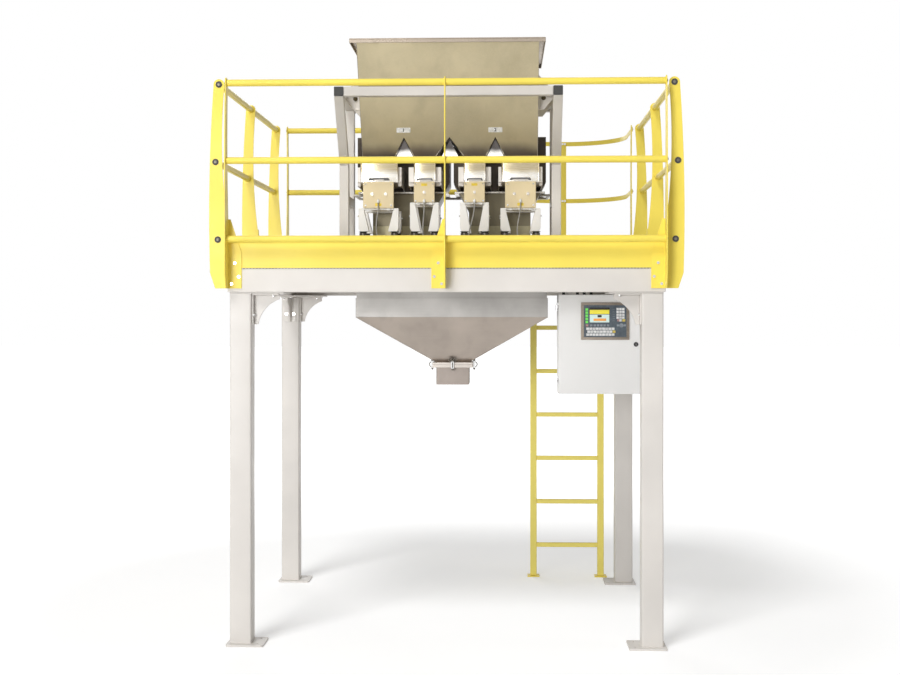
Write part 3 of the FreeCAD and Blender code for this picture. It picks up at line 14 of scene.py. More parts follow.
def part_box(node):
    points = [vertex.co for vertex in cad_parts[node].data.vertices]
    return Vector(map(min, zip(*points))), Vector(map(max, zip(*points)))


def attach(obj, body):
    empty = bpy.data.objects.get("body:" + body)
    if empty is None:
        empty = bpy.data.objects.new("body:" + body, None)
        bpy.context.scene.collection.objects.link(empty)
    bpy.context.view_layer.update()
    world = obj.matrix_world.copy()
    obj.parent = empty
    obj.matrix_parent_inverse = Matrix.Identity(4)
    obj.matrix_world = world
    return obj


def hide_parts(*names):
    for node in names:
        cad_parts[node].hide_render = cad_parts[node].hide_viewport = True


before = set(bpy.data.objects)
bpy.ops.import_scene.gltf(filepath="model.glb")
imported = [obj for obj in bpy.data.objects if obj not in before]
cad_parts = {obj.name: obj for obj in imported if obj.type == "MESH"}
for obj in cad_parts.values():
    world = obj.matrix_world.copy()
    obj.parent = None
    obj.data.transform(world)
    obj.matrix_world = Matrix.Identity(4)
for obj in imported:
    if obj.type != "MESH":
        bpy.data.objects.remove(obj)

LOG = logging.getLogger("bag_filling_machine")
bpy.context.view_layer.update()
MM = 0.001
MACHINE = "machine"
DOOR = "door"
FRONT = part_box("leg_front_left")[0][1]
LEGS = ("leg_front_left", "leg_front_right", "leg_rear_left", "leg_rear_right")
SIDES = (-1, 1)

LEFT = Vector((-1, 0, 0))
RIGHT = Vector((1, 0, 0))
FORWARD = Vector((0, -1, 0))
BACKWARD = Vector((0, 1, 0))
UP = Vector((0, 0, 1))
DOWN = Vector((0, 0, -1))

Seat = tuple[Vector, Vector]
Colour = tuple[int, int, int]
Pair = tuple[float, float]
Socket = bpy.types.NodeSocket

# Height of each rail, and how far its middle stands outside the beam
RAILS = ((3116, 48), (2686, 67), (2255, 54))

# Name of each lead, its gland's place across, and its points from the gland: across, back, down
LEADS = (
    ("coarse_left", -422, ((0, 0, 0), (0, 0, 42), (-10, -3, 100), (-13, -6, 162), (2, -6, 220),
                           (28, -2, 282), (28, -2, 323))),
    ("fine_left", -149, ((0, 0, 0), (0, 0, 50), (-6, -4, 112), (-8, -6, 172), (-2, -6, 230),
                         (6, -2, 284), (6, -2, 323))),
    ("fine_right", 149, ((0, 0, 0), (0, 0, 42), (-14, -4, 106), (-29, -6, 162), (-38, -6, 222),
                         (-30, -2, 282), (-30, -2, 323))),
    ("coarse_right", 422, ((0, 0, 0), (0, 0, 42), (-14, -4, 108), (-22, -6, 164), (-12, -6, 222),
                           (14, -2, 284), (14, -2, 323))),
)
LEAD_Y = 552.0


def spot(x: float, y: float, z: float) -> Vector:
    """Give a place in the row frame from millimetres behind the front legs' front faces."""
    return Vector((x * MM, FRONT + y * MM, z * MM))


class Span:
    """The box of a CAD node, in the millimetres that spot() takes."""

    def __init__(self, node: str) -> None:
        """Read the box.

        Args:
            node: name of the CAD node.
        """
        (left, front, bottom), (right, rear, top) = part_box(node)
        self.left, self.right, self.bottom, self.top = left / MM, right / MM, bottom / MM, top / MM
        self.front, self.rear = (front - FRONT) / MM, (rear - FRONT) / MM
        self.width, self.depth = self.right - self.left, self.rear - self.front
        self.height = self.top - self.bottom

    def middle(self) -> Vector:
        """Give the middle of the box as a place."""
        return spot(self.left + self.width / 2, self.front + self.depth / 2, self.bottom + self.height / 2)


def spoke(across: Vector, up: Vector, angle: float) -> Vector:
    """Give the direction at an angle in degrees from across towards up."""
    return across * math.cos(math.radians(angle)) + up * math.sin(math.radians(angle))


def circle(centre: Vector, across: Vector, up: Vector, radius: float, steps: int) -> list[Vector]:
    """Give the points of a circle whose radius is in millimetres."""
    return [centre + spoke(across, up, 360 * n / steps) * radius * MM for n in range(steps)]


def rounded_outline(centre: Vector, across: Vector, up: Vector, width: float, height: float, corner: float,
                    steps: int = 4) -> list[Vector]:
    """Give the outline of a rectangle with rounded corners.

    Args:
        centre: middle of the rectangle.
        across: direction of its width.
        up: direction of its height.
        width: width in millimetres.
        height: height in millimetres.
        corner: corner radius in millimetres.
        steps: segments of each corner.

    Returns:
        The points in order.
    """
    points = []
    for turn, (sx, sy) in enumerate(((1, 1), (-1, 1), (-1, -1), (1, -1))):
        middle = centre + (across * sx * (width / 2 - corner) + up * sy * (height / 2 - corner)) * MM
        points += [middle + spoke(across, up, 90 * (turn + n / steps)) * corner * MM
                   for n in range(steps + 1)]
    return points


def linear(colour: Sequence[float]) -> tuple[float, float, float, float]:
    """Turn a colour as seen, 0 to 255, into the shader's linear red, green, blue and alpha."""
    parts = (c / 255 for c in colour)
    return (*(p / 12.92 if p <= 0.04045 else ((p + 0.055) / 1.055) ** 2.4 for p in parts), 1.0)


class Wiring:
    """Adds nodes to one node tree and links them."""

    def __init__(self, tree: bpy.types.NodeTree) -> None:
        """Keep the tree that grows."""
        self.tree = tree

    def feed(self, node: bpy.types.Node, put: dict) -> None:
        """Link or set the inputs of a node.

        Args:
            node: the node.
            put: sockets or values, by the name or number of the input.
        """
        for key, value in put.items():
            if isinstance(value, Socket):
                self.tree.links.new(value, node.inputs[key])
            else:
                node.inputs[key].default_value = value

    def add(self, kind: str, put: dict, output: int | str = 0, **settings: object) -> Socket:
        """Add a node.

        Args:
            kind: the node's type name.
            put: sockets or values for its inputs, by name or number.
            output: name or number of the output that is wanted.
            settings: properties of the node itself.

        Returns:
            The output.
        """
        node = self.tree.nodes.new(kind)
        for name, value in settings.items():
            setattr(node, name, value)
        self.feed(node, put)
        return node.outputs[output]

    def maths(self, operation: str, first: object, second: object = 0.0) -> Socket:
        """Combine two values by a Math node's operation."""
        return self.add("ShaderNodeMath", {0: first, 1: second}, operation=operation)

    def noise(self, scale: float, detail: float = 2.0, stretch: Sequence[float] = (1, 1, 1)) -> Socket:
        """Add noise from 0 to 1 on the piece's own coordinates.

        Args:
            scale: how many spots fit in a metre.
            detail: how fine the noise gets.
            stretch: scale along X, Y and Z, for grain.

        Returns:
            The noise.
        """
        place = self.add("ShaderNodeTexCoord", {}, "Object")
        mapped = self.add("ShaderNodeMapping", {"Vector": place, "Scale": tuple(stretch)})
        return self.add("ShaderNodeTexNoise", {"Vector": mapped, "Scale": scale, "Detail": detail})

    def spread(self, value: Socket, low: float, high: float, start: float = 0.3, end: float = 0.7,
               **settings: object) -> Socket:
        """Map a value to a range.

        Args:
            value: the value, such as a noise.
            low: result at start and below it.
            high: result at end and above it.
            start: value that gives low.
            end: value that gives high.
            settings: properties of the node.

        Returns:
            The mapped value.
        """
        put = {"Value": value, "From Min": start, "From Max": end, "To Min": low, "To Max": high}
        return self.add("ShaderNodeMapRange", put, **settings)

    def mix(self, share: Socket, first: object, second: object) -> Socket:
        """Mix two colours or sockets, by a share that is 0 for the first and 1 for the second."""
        return self.add("ShaderNodeMix", {0: share, 6: first, 7: second}, 2, data_type="RGBA")

    def bump(self, height: Socket, distance: float, strength: float) -> Socket:
        """Turn a height from 0 to 1 into a normal, where 1 stands for a distance in metres."""
        return self.add("ShaderNodeBump", {"Height": height, "Distance": distance, "Strength": strength})

    def seen(self) -> Socket:
        """Give 1 for what the camera sees directly, in a reflection or through glass.

        Returns:
            The share, 0 or 1.
        """
        camera, glossy, through = (self.add("ShaderNodeLightPath", {}, ray) for ray in (
            "Is Camera Ray", "Is Glossy Ray", "Is Transmission Ray"))
        return self.maths("MAXIMUM", self.maths("MAXIMUM", camera, glossy), through)


@dataclass(frozen=True)
class Finish:
    """What every finish has; each kind of finish wires its own surface."""

    name: str
    slot: str
    colour: Colour
    roughness: float

    def material(self) -> bpy.types.Material:
        """Make the finish's material once.

        Returns:
            The material, the same one at each call.
        """
        made = bpy.data.materials.get(self.name)
        if not made:
            made = bpy.data.materials.new(self.name)
            made.use_nodes = True
            wiring = Wiring(made.node_tree)
            wiring.feed(made.node_tree.nodes["Principled BSDF"], self.surface(wiring))
        return made

    def surface(self, wiring: Wiring) -> dict:
        """Wire the surface; the kinds below do it.

        Args:
            wiring: the material's nodes.

        Returns:
            What the shader's inputs get.
        """
        raise NotImplementedError

    def tone(self, factor: float = 1.0) -> tuple[float, float, float, float]:
        """Give the colour darkened or lightened by a factor."""
        return linear([min(255, c * factor) for c in self.colour])

    def around(self, value: Socket, below: float, above: float) -> Socket:
        """Vary the roughness by a noise, from below its middle value to above it."""
        return Wiring(value.id_data).spread(value, self.roughness - below, self.roughness + above)


@dataclass(frozen=True)
class Paint(Finish):
    """Sprayed or powder coated steel: soft clouds, fine specks and orange peel."""

    peel: float = 0.00025
    coat: float = 0.08
    cloud: float = 0.06
    shine: float = 0.30

    def surface(self, wiring: Wiring) -> dict:
        """Wire colour clouds, fine specks, roughness and orange peel.

        Args:
            wiring: the material's nodes.

        Returns:
            What the shader's inputs get.
        """
        clouds = wiring.spread(wiring.noise(2.3, 3.0), 0.0, 1.0)
        specks = wiring.spread(wiring.noise(420.0, 2.0), 0.0, 0.35, 0.66, 0.78)
        clouded = wiring.mix(clouds, self.tone(), self.tone(1.0 - self.cloud))
        return {
            "Base Color": wiring.mix(specks, clouded, self.tone(0.86)),
            "Roughness": self.around(wiring.noise(9.0, 4.0), 0.05, 0.07),
            "Normal": wiring.bump(wiring.noise(520.0, 1.0), self.peel, 0.35),
            "Specular IOR Level": self.shine,
            "Coat Weight": self.coat,
            "Coat Roughness": 0.12,
        }


class Grain(Enum):
    """Which way the brushing of a sheet runs; the value stretches its noise."""

    ACROSS = (1.0, 1.0, 140.0)
    UPRIGHT = (140.0, 140.0, 1.0)
    MILLED = (22.0, 22.0, 22.0)
    ROLLED = (40.0, 40.0, 90.0)


@dataclass(frozen=True)
class Sheet(Finish):
    """Stainless sheet: brushed grain, rolling clouds and faint handling marks."""

    grain: Grain = Grain.ACROSS
    cloud: float = 0.16
    metallic: float = 1.0
    # Below the fade the colour turns to low_colour by height; on the hopper, divider and bin finishes this
    # paints light and shade.
    low_colour: Colour | None = None
    fade: Pair = (0.0, 1.0)

    def surface(self, wiring: Wiring) -> dict:
        """Wire grain, clouds and smudges into colour, roughness and bump.

        Args:
            wiring: the material's nodes.

        Returns:
            What the shader's inputs get.
        """
        grain = wiring.noise(3.0, 4.0, self.grain.value)
        clouds = wiring.spread(wiring.noise(3.4, 5.0), 0.0, 1.0, 0.32, 0.68)
        smudges = wiring.spread(wiring.noise(11.0, 6.0, (1.0, 1.0, 0.5)), 0.0, 0.5, 0.52, 0.72)
        clouded = wiring.mix(clouds, self.tone(), self.tone(1.0 - self.cloud))
        streaked = wiring.mix(wiring.spread(grain, 0.0, 0.35), clouded, self.tone(1.05))
        tone = wiring.mix(smudges, streaked, self.tone(0.88))
        # Painted light by height: below the fade the colour turns to low_colour.
        if self.low_colour:
            tone = wiring.mix(self.height_share(wiring), linear(self.low_colour), tone)
        duller = wiring.spread(clouds, -0.03, 0.05, 0.0, 1.0)
        rough = wiring.maths("ADD", self.around(grain, 0.07, 0.07), duller)
        return {"Base Color": tone, "Roughness": rough, "Normal": wiring.bump(grain, 0.00004, 0.4),
                "Metallic": self.metallic}

    def height_share(self, wiring: Wiring) -> Socket:
        """Give 0 below the fade and 1 above it, with an uneven border.

        Args:
            wiring: the material's nodes.

        Returns:
            The share.
        """
        place = wiring.add("ShaderNodeTexCoord", {}, "Object")
        uneven = wiring.spread(wiring.noise(6.0, 3.0), -0.012, 0.012)
        level = wiring.maths("ADD", wiring.add("ShaderNodeSeparateXYZ", {0: place}, 2), uneven)
        return wiring.spread(level, 0.0, 1.0, *self.fade, interpolation_type="SMOOTHSTEP")


@dataclass(frozen=True)
class Tread(Finish):
    """Painted tread plate, dull where feet have rubbed it."""

    def surface(self, wiring: Wiring) -> dict:
        """Wire worn patches over a grey paint.

        Args:
            wiring: the material's nodes.

        Returns:
            What the shader's inputs get.
        """
        worn = wiring.spread(wiring.noise(5.0, 6.0), 0.0, 1.0, 0.42, 0.66)
        return {
            "Base Color": wiring.mix(worn, self.tone(), self.tone(0.84)),
            "Roughness": wiring.spread(worn, self.roughness, self.roughness + 0.18, 0.0, 1.0),
            "Normal": wiring.bump(wiring.noise(260.0, 3.0), 0.0003, 0.4),
            "Metallic": 0.35,
        }


@dataclass(frozen=True)
class Moulded(Finish):
    """Moulded plastic or rubber with a fine texture."""

    sheen: float = 0.0

    def surface(self, wiring: Wiring) -> dict:
        """Wire a faint mottle and a fine texture.

        Args:
            wiring: the material's nodes.

        Returns:
            What the shader's inputs get.
        """
        mottle = wiring.spread(wiring.noise(60.0, 4.0), 0.0, 1.0)
        return {
            "Base Color": wiring.mix(mottle, self.tone(), self.tone(0.82)),
            "Roughness": self.around(wiring.noise(35.0, 3.0), 0.06, 0.06),
            "Normal": wiring.bump(wiring.noise(700.0, 2.0), 0.0002, 0.3),
            "Sheen Weight": self.sheen,
        }


@dataclass(frozen=True)
class Screen(Finish):
    """A lit field of a display or lamp, with rows of fine dots in it."""

    glow: float = 0.35

    def surface(self, wiring: Wiring) -> dict:
        """Wire fine dots and a faint glow.

        Args:
            wiring: the material's nodes.

        Returns:
            What the shader's inputs get.
        """
        place = wiring.add("ShaderNodeTexCoord", {}, "Object")
        dots = wiring.add("ShaderNodeTexVoronoi", {"Vector": place, "Scale": 620.0})
        tone = wiring.mix(wiring.spread(dots, 0.0, 0.25, 0.2, 0.7), self.tone(), self.tone(0.7))
        return {"Base Color": tone, "Emission Color": tone, "Emission Strength": self.glow,
                "Roughness": self.roughness}


CREAM = Paint("cream_coat", "cream_paint", (226, 221, 215), 0.40)
YELLOW = Paint("yellow_coat", "yellow_paint", (252, 230, 102), 0.34, 0.00012, 0.06, 0.04, 0.15)
# A paler copy of the yellow paint for the ladder: painted light against the deck's shadow on it.
LIT_LADDER_COAT = Paint("lit_ladder_coat", "yellow_paint", (255, 238, 128), 0.34, 0.00012, 0.06, 0.04, 0.15)
CABINET_COAT = Paint("cabinet_coat", "cabinet_paint", (255, 254, 252), 0.42, peel=0.0005, cloud=0.03)
WHITE_COAT = Paint("white_coat", "white_paint", (250, 248, 245), 0.36)
DRIVE_COAT = Paint("drive_coat", "drive_paint", (234, 216, 176), 0.40)
TREAD = Tread("tread_plate", "deck_steel", (186, 182, 174), 0.38)
# The hopper's stainless turns darker below about 2.87 m: a painted reflection of dark surroundings.
HOPPER_SHEET = Sheet("hopper_sheet", "stainless", (194, 183, 154), 0.40, Grain.ROLLED, 0.12, 0.9,
                     (122, 114, 105), (2.800, 2.870))
RIM_SHEET = Sheet("rim_sheet", "stainless", (168, 156, 142), 0.32, Grain.ROLLED, 0.14)
# The dividers' stainless is painted dark at the top as painted shade and reflection, and nearly white below
# about 2.84 m as a painted highlight.
DIVIDER_PAINTED_LIGHT_SHEET = Sheet("divider_painted_light_sheet", "stainless", (86, 82, 80), 0.26, Grain.UPRIGHT, 0.14, 0.9,
                      (248, 246, 242), (2.800, 2.842))
INLET_SHEET = Sheet("inlet_sheet", "stainless", (202, 188, 156), 0.20, Grain.ACROSS, 0.14, 0.8,
                    (250, 248, 244), (2.655, 2.705))
TRAY_SHEET = Sheet("tray_sheet", "stainless", (218, 213, 207), 0.46, Grain.UPRIGHT, 0.08, 0.3)
BRIGHT_SHEET = Sheet("bright_sheet", "stainless", (224, 220, 212), 0.24, Grain.UPRIGHT, 0.10)
SKIRT_SHEET = Sheet("skirt_sheet", "stainless", (178, 175, 171), 0.46, Grain.ACROSS, 0.14, 0.4)
FLANGE_SHEET = Sheet("flange_sheet", "stainless", (206, 198, 190), 0.42, Grain.ACROSS, 0.10, 0.4)
# A darker copy of the collector's stainless for the spout: painted shade against the lamps' sheen on it.
SHADED_SPOUT_SHEET = Sheet("shaded_spout_sheet", "stainless", (160, 149, 141), 0.46, Grain.ACROSS, 0.10, 0.4)
CONE_SHEET = Sheet("cone_sheet", "stainless", (184, 173, 163), 0.42, Grain.ACROSS, 0.10)
# The bins' stainless is painted dark above about 2.6 m, as painted shade under the trays and painted
# reflection, and turns paler below.
SHADED_BIN_SHEET = Sheet("shaded_bin_sheet", "dark_stainless", (74, 67, 60), 0.36, Grain.UPRIGHT, 0.18, 0.9,
                  (128, 121, 102), (2.575, 2.600))
OUTLET_BAND = Sheet("outlet_band", "stainless", (176, 168, 138), 0.34, Grain.UPRIGHT, 0.14, 0.8)
# A paler copy of the bins' stainless for their slanted inner sides: painted light.
LIT_BIN_SIDE_SHEET = Sheet("lit_bin_side_sheet", "stainless", (176, 173, 175), 0.42, Grain.UPRIGHT, 0.10, 0.5)
OUTLET_SHEET = Sheet("outlet_sheet", "stainless", (120, 110, 96), 0.34, Grain.UPRIGHT, 0.16)
BEZEL_SHEET = Sheet("bezel_sheet", "panel_metal", (150, 140, 128), 0.30, Grain.ACROSS, 0.20)
ZINC = Sheet("zinc", "zinc", (168, 165, 158), 0.34, Grain.MILLED, 0.12)
PLUG_SCREW = Sheet("plug_screw", "zinc", (120, 116, 108), 0.40, Grain.MILLED, 0.20)
DARK_BOLT = Sheet("dark_bolt", "rubber", (92, 82, 62), 0.42, Grain.MILLED, 0.20)
WELD = Sheet("weld_bead", "stainless", (176, 168, 156), 0.38, Grain.MILLED, 0.25)
BLACK = Moulded("black_plastic", "black_plastic", (38, 37, 36), 0.42)
RUBBER = Moulded("rubber", "rubber", (44, 42, 40), 0.62, sheen=0.2)
BUFFER = Moulded("buffer", "rubber", (58, 52, 46), 0.18)
CABLE_GREY = Moulded("cable_grey", "cable_sheath", (168, 166, 162), 0.48)
SLATE = Moulded("slate_face", "panel_metal", (86, 98, 108), 0.40)
KEY_WHITE = Moulded("key_white", "panel_metal", (252, 252, 252), 0.45)
KEY_GREY = Moulded("key_grey", "panel_metal", (150, 158, 166), 0.45)
KEY_YELLOW = Moulded("key_yellow", "panel_metal", (232, 208, 92), 0.45)
KEY_RED = Moulded("key_red", "panel_metal", (196, 150, 148), 0.45)
LABEL_WHITE = Moulded("label_white", "cabinet_paint", (255, 255, 253), 0.50)
LABEL_YELLOW = Moulded("label_yellow", "yellow_paint", (246, 214, 60), 0.48)
SCREEN_DARK = Screen("screen_dark", "panel_metal", (26, 28, 30), 0.22, 0.0)
SCREEN_YELLOW = Screen("screen_yellow", "panel_metal", (236, 222, 70), 0.25)
SCREEN_PALE = Screen("screen_pale", "panel_metal", (206, 228, 222), 0.25)
SCREEN_ORANGE = Screen("screen_orange", "panel_metal", (232, 158, 78), 0.25)
LAMP_GREEN = Screen("lamp_green", "panel_metal", (104, 206, 84), 0.30, 0.5)


def linked(name: str, data: bpy.types.ID | None) -> bpy.types.Object:
    """Put mesh or curve data in the scene as an object of that name.

    Args:
        name: name of the object.
        data: its data.

    Returns:
        The object.
    """
    obj = bpy.data.objects.new(name, data)
    bpy.context.collection.objects.link(obj)
    return obj


def evaluated(holder: bpy.types.Object) -> bpy.types.Mesh:
    """Give the mesh that an object's modifier or text makes, and delete the object.

    Args:
        holder: the object.

    Returns:
        The mesh.
    """
    graph = bpy.context.evaluated_depsgraph_get()
    mesh = bpy.data.meshes.new_from_object(holder.evaluated_get(graph), depsgraph=graph)
    bpy.data.objects.remove(holder)
    return mesh


class Solid:
    """Closed shapes that become one piece. Places are in metres, sizes in millimetres."""

    def __init__(self, source: bpy.types.Mesh | None = None) -> None:
        """Start empty or with the faces of a mesh.

        Args:
            source: the mesh.
        """
        self.build = bmesh.new()
        if source:
            self.build.from_mesh(source)

    def block(self, low: Vector, high: Vector, edge: float = 0.0) -> None:
        """Add a box with its edges taken off.

        Args:
            low: lowest corner.
            high: highest corner.
            edge: width of the chamfer.
        """
        place = Matrix.Translation((low + high) / 2) @ Matrix.Diagonal((*(high - low), 1.0))
        made = bmesh.ops.create_cube(self.build, size=1.0, matrix=place)
        if edge > 0:
            edges = list({e for v in made["verts"] for e in v.link_edges})
            bmesh.ops.bevel(self.build, geom=edges, offset=edge * MM, segments=1, profile=0.5, affect="EDGES")

    def bar(self, x: float, half: float, depth: Pair, rise: Pair,
            edge: float = 0.0) -> None:
        """Add a box that reaches equally far to both sides, in the millimetres that spot() takes.

        Args:
            x: place of its middle.
            half: half its width.
            depth: its front and rear.
            rise: its foot and top.
            edge: width of the chamfer.
        """
        self.block(spot(x - half, depth[0], rise[0]), spot(x + half, depth[1], rise[1]), edge)

    def skin(self, rings: Sequence[Sequence[Vector]], closed: bool = False) -> None:
        """Cover rings of points with faces, from the first ring to the last.

        Args:
            rings: rings of equally many points.
            closed: whether the last ring joins the first; otherwise both are capped.
        """
        loops = [[self.build.verts.new(point) for point in ring] for ring in rings]
        if closed:
            loops.append(loops[0])
        else:
            self.build.faces.new(loops[0])
            self.build.faces.new(loops[-1][::-1])
        for near, far in zip(loops, loops[1:]):
            for n in range(len(near)):
                self.build.faces.new((near[n - 1], far[n - 1], far[n], near[n]))

    def prism(self, outline: Sequence[Vector], depth: Vector) -> None:
        """Add a closed outline pushed along a vector in metres."""
        self.skin([outline, [point + depth for point in outline]])

    def slab(self, centre: Vector, up: Vector, width: float, height: float, corner: float, depth: Vector,
             steps: int = 2) -> None:
        """Add a plate with rounded corners whose width runs to the right.

        Args:
            centre: middle of its back.
            up: direction of its height.
            width: its width.
            height: its height.
            corner: its corner radius.
            depth: its thickness as a vector in metres.
            steps: segments of each corner.
        """
        self.prism(rounded_outline(centre, RIGHT, up, width, height, corner, steps), depth)

    def lathe(self, profile: Sequence[Pair], place: Vector, facing: Vector, steps: int) -> None:
        """Add a turned shape.

        Args:
            profile: radius and height pairs, from the first end to the last.
            place: foot of the axis.
            facing: direction of the axis.
            steps: number of sides.
        """
        turn = facing.to_track_quat("Z", "Y").to_matrix()
        self.skin([circle(place + facing * height * MM, turn.col[0], turn.col[1], radius, steps)
                   for radius, height in profile])

    def wire_ring(self, centre: Vector, across: Vector, radius: float, wire: float, steps: int = 20) -> None:
        """Add an upright ring of round wire.

        Args:
            centre: middle of the ring.
            across: level direction in the ring's plane.
            radius: radius to the middle of the wire.
            wire: radius of the wire.
            steps: segments round the ring.
        """
        spokes = [spoke(across, UP, 360 * n / steps) for n in range(steps)]
        axis = across.cross(UP)
        self.skin([circle(centre + way * radius * MM, way, axis, wire, 8) for way in spokes], True)

    def close(self, name: str, finish: Finish, crease: float) -> bpy.types.Object:
        """Turn the shapes into a finished object.

        Args:
            name: name of the object.
            finish: finish of all its faces.
            crease: angle in degrees above which an edge stays sharp.

        Returns:
            The object.
        """
        bmesh.ops.recalc_face_normals(self.build, faces=self.build.faces)
        for face in self.build.faces:
            face.smooth = True
        for edge in self.build.edges:
            edge.smooth = edge.is_manifold and edge.calc_face_angle(0.0) < math.radians(crease)
        mesh = bpy.data.meshes.new(name)
        self.build.to_mesh(mesh)
        self.build.free()
        mesh.materials.append(finish.material())
        return linked(name, mesh)


class ShapeTree(Wiring):
    """A Geometry Nodes tree with named inputs that ends in Realize Instances and Set Material."""

    def __init__(self, name: str, *sizes: str) -> None:
        """Start the tree with its sockets.

        Args:
            name: name of the tree.
            sizes: names of its inputs; the one named sides is a whole number.
        """
        super().__init__(bpy.data.node_groups.new(name, "GeometryNodeTree"))
        kinds = {"Seats": "Geometry", "Finish": "Material", "sides": "Int"}
        face = self.tree.interface
        for socket in ("Seats", "Finish", *sizes):
            face.new_socket(socket, in_out="INPUT", socket_type="NodeSocket" + kinds.get(socket, "Float"))
        face.new_socket("Result", in_out="OUTPUT", socket_type="NodeSocketGeometry")
        self.inputs = self.tree.nodes.new("NodeGroupInput").outputs
        self.sizes = [self.inputs[name] for name in sizes]
        self.end = self.tree.nodes.new("NodeGroupOutput")

    def vector(self, x: object, y: object, z: object) -> Socket:
        """Join three values into a vector."""
        return self.add("ShaderNodeCombineXYZ", {0: x, 1: y, 2: z})

    def lifted(self, shape: Socket, lift: object, scale: object = (1, 1, 1)) -> Socket:
        """Lift and scale a geometry."""
        put = {"Geometry": shape, "Translation": self.vector(0.0, 0.0, lift), "Scale": scale}
        return self.add("GeometryNodeTransform", put)

    def cylinder(self, sides: object, radius: Socket, height: Socket, lift: object) -> Socket:
        """Add a cylinder whose foot is lifted above the seat."""
        mesh = self.add("GeometryNodeMeshCylinder", {"Vertices": sides, "Radius": radius, "Depth": height})
        return self.lifted(mesh, self.maths("ADD", lift, self.maths("MULTIPLY", height, 0.5)))

    def joined(self, shapes: Iterable[Socket]) -> Socket:
        """Join geometries.

        Args:
            shapes: the geometries.

        Returns:
            The joined geometry.
        """
        node = self.tree.nodes.new("GeometryNodeJoinGeometry")
        for shape in shapes:
            self.tree.links.new(shape, node.inputs[0])
        return node.outputs[0]

    def facing(self, axis: str) -> Socket:
        """Turn an axis of the shape to the seats' facing."""
        way = self.add("GeometryNodeInputNamedAttribute", {"Name": "facing"}, data_type="FLOAT_VECTOR")
        return self.add("FunctionNodeAlignRotationToVector", {"Vector": way}, axis=axis)

    def random(self, low: float, high: float, seed: int) -> Socket:
        """Give each instance its own number between two."""
        return self.add("FunctionNodeRandomValue", {2: low, 3: high, 8: seed}, 1, data_type="FLOAT")

    def standing(self, spin: float = 0.0) -> Socket:
        """Stand instances up on their seats, with a random spin of up to so many radians.

        Args:
            spin: largest spin.

        Returns:
            The rotation of each instance.
        """
        turn = self.add("FunctionNodeEulerToRotation", {0: self.vector(0.0, 0.0, self.random(0.0, spin, 11))})
        return self.add("FunctionNodeRotateRotation", {0: self.facing("Z"), 1: turn}, rotation_space="LOCAL")

    def close(self, shape: Socket, rotation: Socket, scale: object = (1, 1, 1),
              points: Socket | None = None) -> "ShapeTree":
        """End the tree: a shape on every point, made real and given its finish.

        Args:
            shape: the shape.
            rotation: rotation of each instance.
            scale: scale of each instance.
            points: the points, if they aren't the seats themselves.

        Returns:
            The tree.
        """
        put = {"Instance": shape, "Rotation": rotation, "Scale": scale}
        put["Points"] = points or self.inputs["Seats"]
        placed = self.add("GeometryNodeInstanceOnPoints", put)
        real = self.add("GeometryNodeRealizeInstances", {0: placed})
        dressed = self.add("GeometryNodeSetMaterial", {"Geometry": real, "Material": self.inputs["Finish"]})
        self.tree.links.new(dressed, self.end.inputs[0])
        return self

    def grow(self, name: str, seats: bpy.types.Mesh, finish: Finish, crease: float,
             sizes: dict[str, float]) -> bpy.types.Object:
        """Run the tree on seats and keep the result as a plain mesh.

        Args:
            name: name of the piece.
            seats: mesh of points or paths that the tree reads.
            finish: finish of the piece.
            crease: angle in degrees above which an edge stays sharp.
            sizes: the tree's inputs; lengths are in millimetres.

        Returns:
            The piece.
        """
        holder = linked(name + "_seats", seats)
        modifier = holder.modifiers.new("shape", "NODES")
        modifier.node_group = self.tree
        values = {key: value if key == "sides" else value * MM for key, value in sizes.items()}
        values["Finish"] = finish.material()
        for item in self.tree.interface.items_tree:
            if item.name in values:
                modifier[item.identifier] = values[item.name]
        return Solid(evaluated(holder)).close(name, finish, crease)


def seat_mesh(seats: Sequence[Seat]) -> bpy.types.Mesh:
    """Make a mesh of points that know which way they face.

    Args:
        seats: place and facing of each.

    Returns:
        The mesh, with the attribute facing.
    """
    mesh = bpy.data.meshes.new("seats")
    mesh.from_pydata([place for place, _ in seats], [], [])
    facing = mesh.attributes.new("facing", "FLOAT_VECTOR", "POINT")
    for n, (_, way) in enumerate(seats):
        facing.data[n].vector = way
    return mesh


def path_mesh(paths: Sequence[Sequence[Vector]], closed: bool) -> bpy.types.Mesh:
    """Make a mesh of edges along paths.

    Args:
        paths: points of each path in order.
        closed: whether each path ends where it started.

    Returns:
        The mesh of edges.
    """
    verts: list[Vector] = []
    edges = []
    for path in paths:
        first = len(verts)
        verts += path
        edges += [(first + n, first + n + 1) for n in range(len(path) - 1)]
        if closed:
            edges.append((len(verts) - 1, first))
    mesh = bpy.data.meshes.new("paths")
    mesh.from_pydata(verts, edges, [])
    return mesh


@dataclass(frozen=True)
class Bolt:
    """A bolt head on its washer in millimetres; washer and stud are shares of the head's radius."""

    head: float
    height: float
    sides: int = 6
    washer: float = 1.35
    thin: float = 1.6
    stud: float = 0.55
    proud: float = 1.5

    def sizes(self) -> dict[str, float]:
        """Give the inputs of the tree of bolts."""
        return {**vars(self), "washer": self.head * self.washer, "stud": self.head * self.stud}


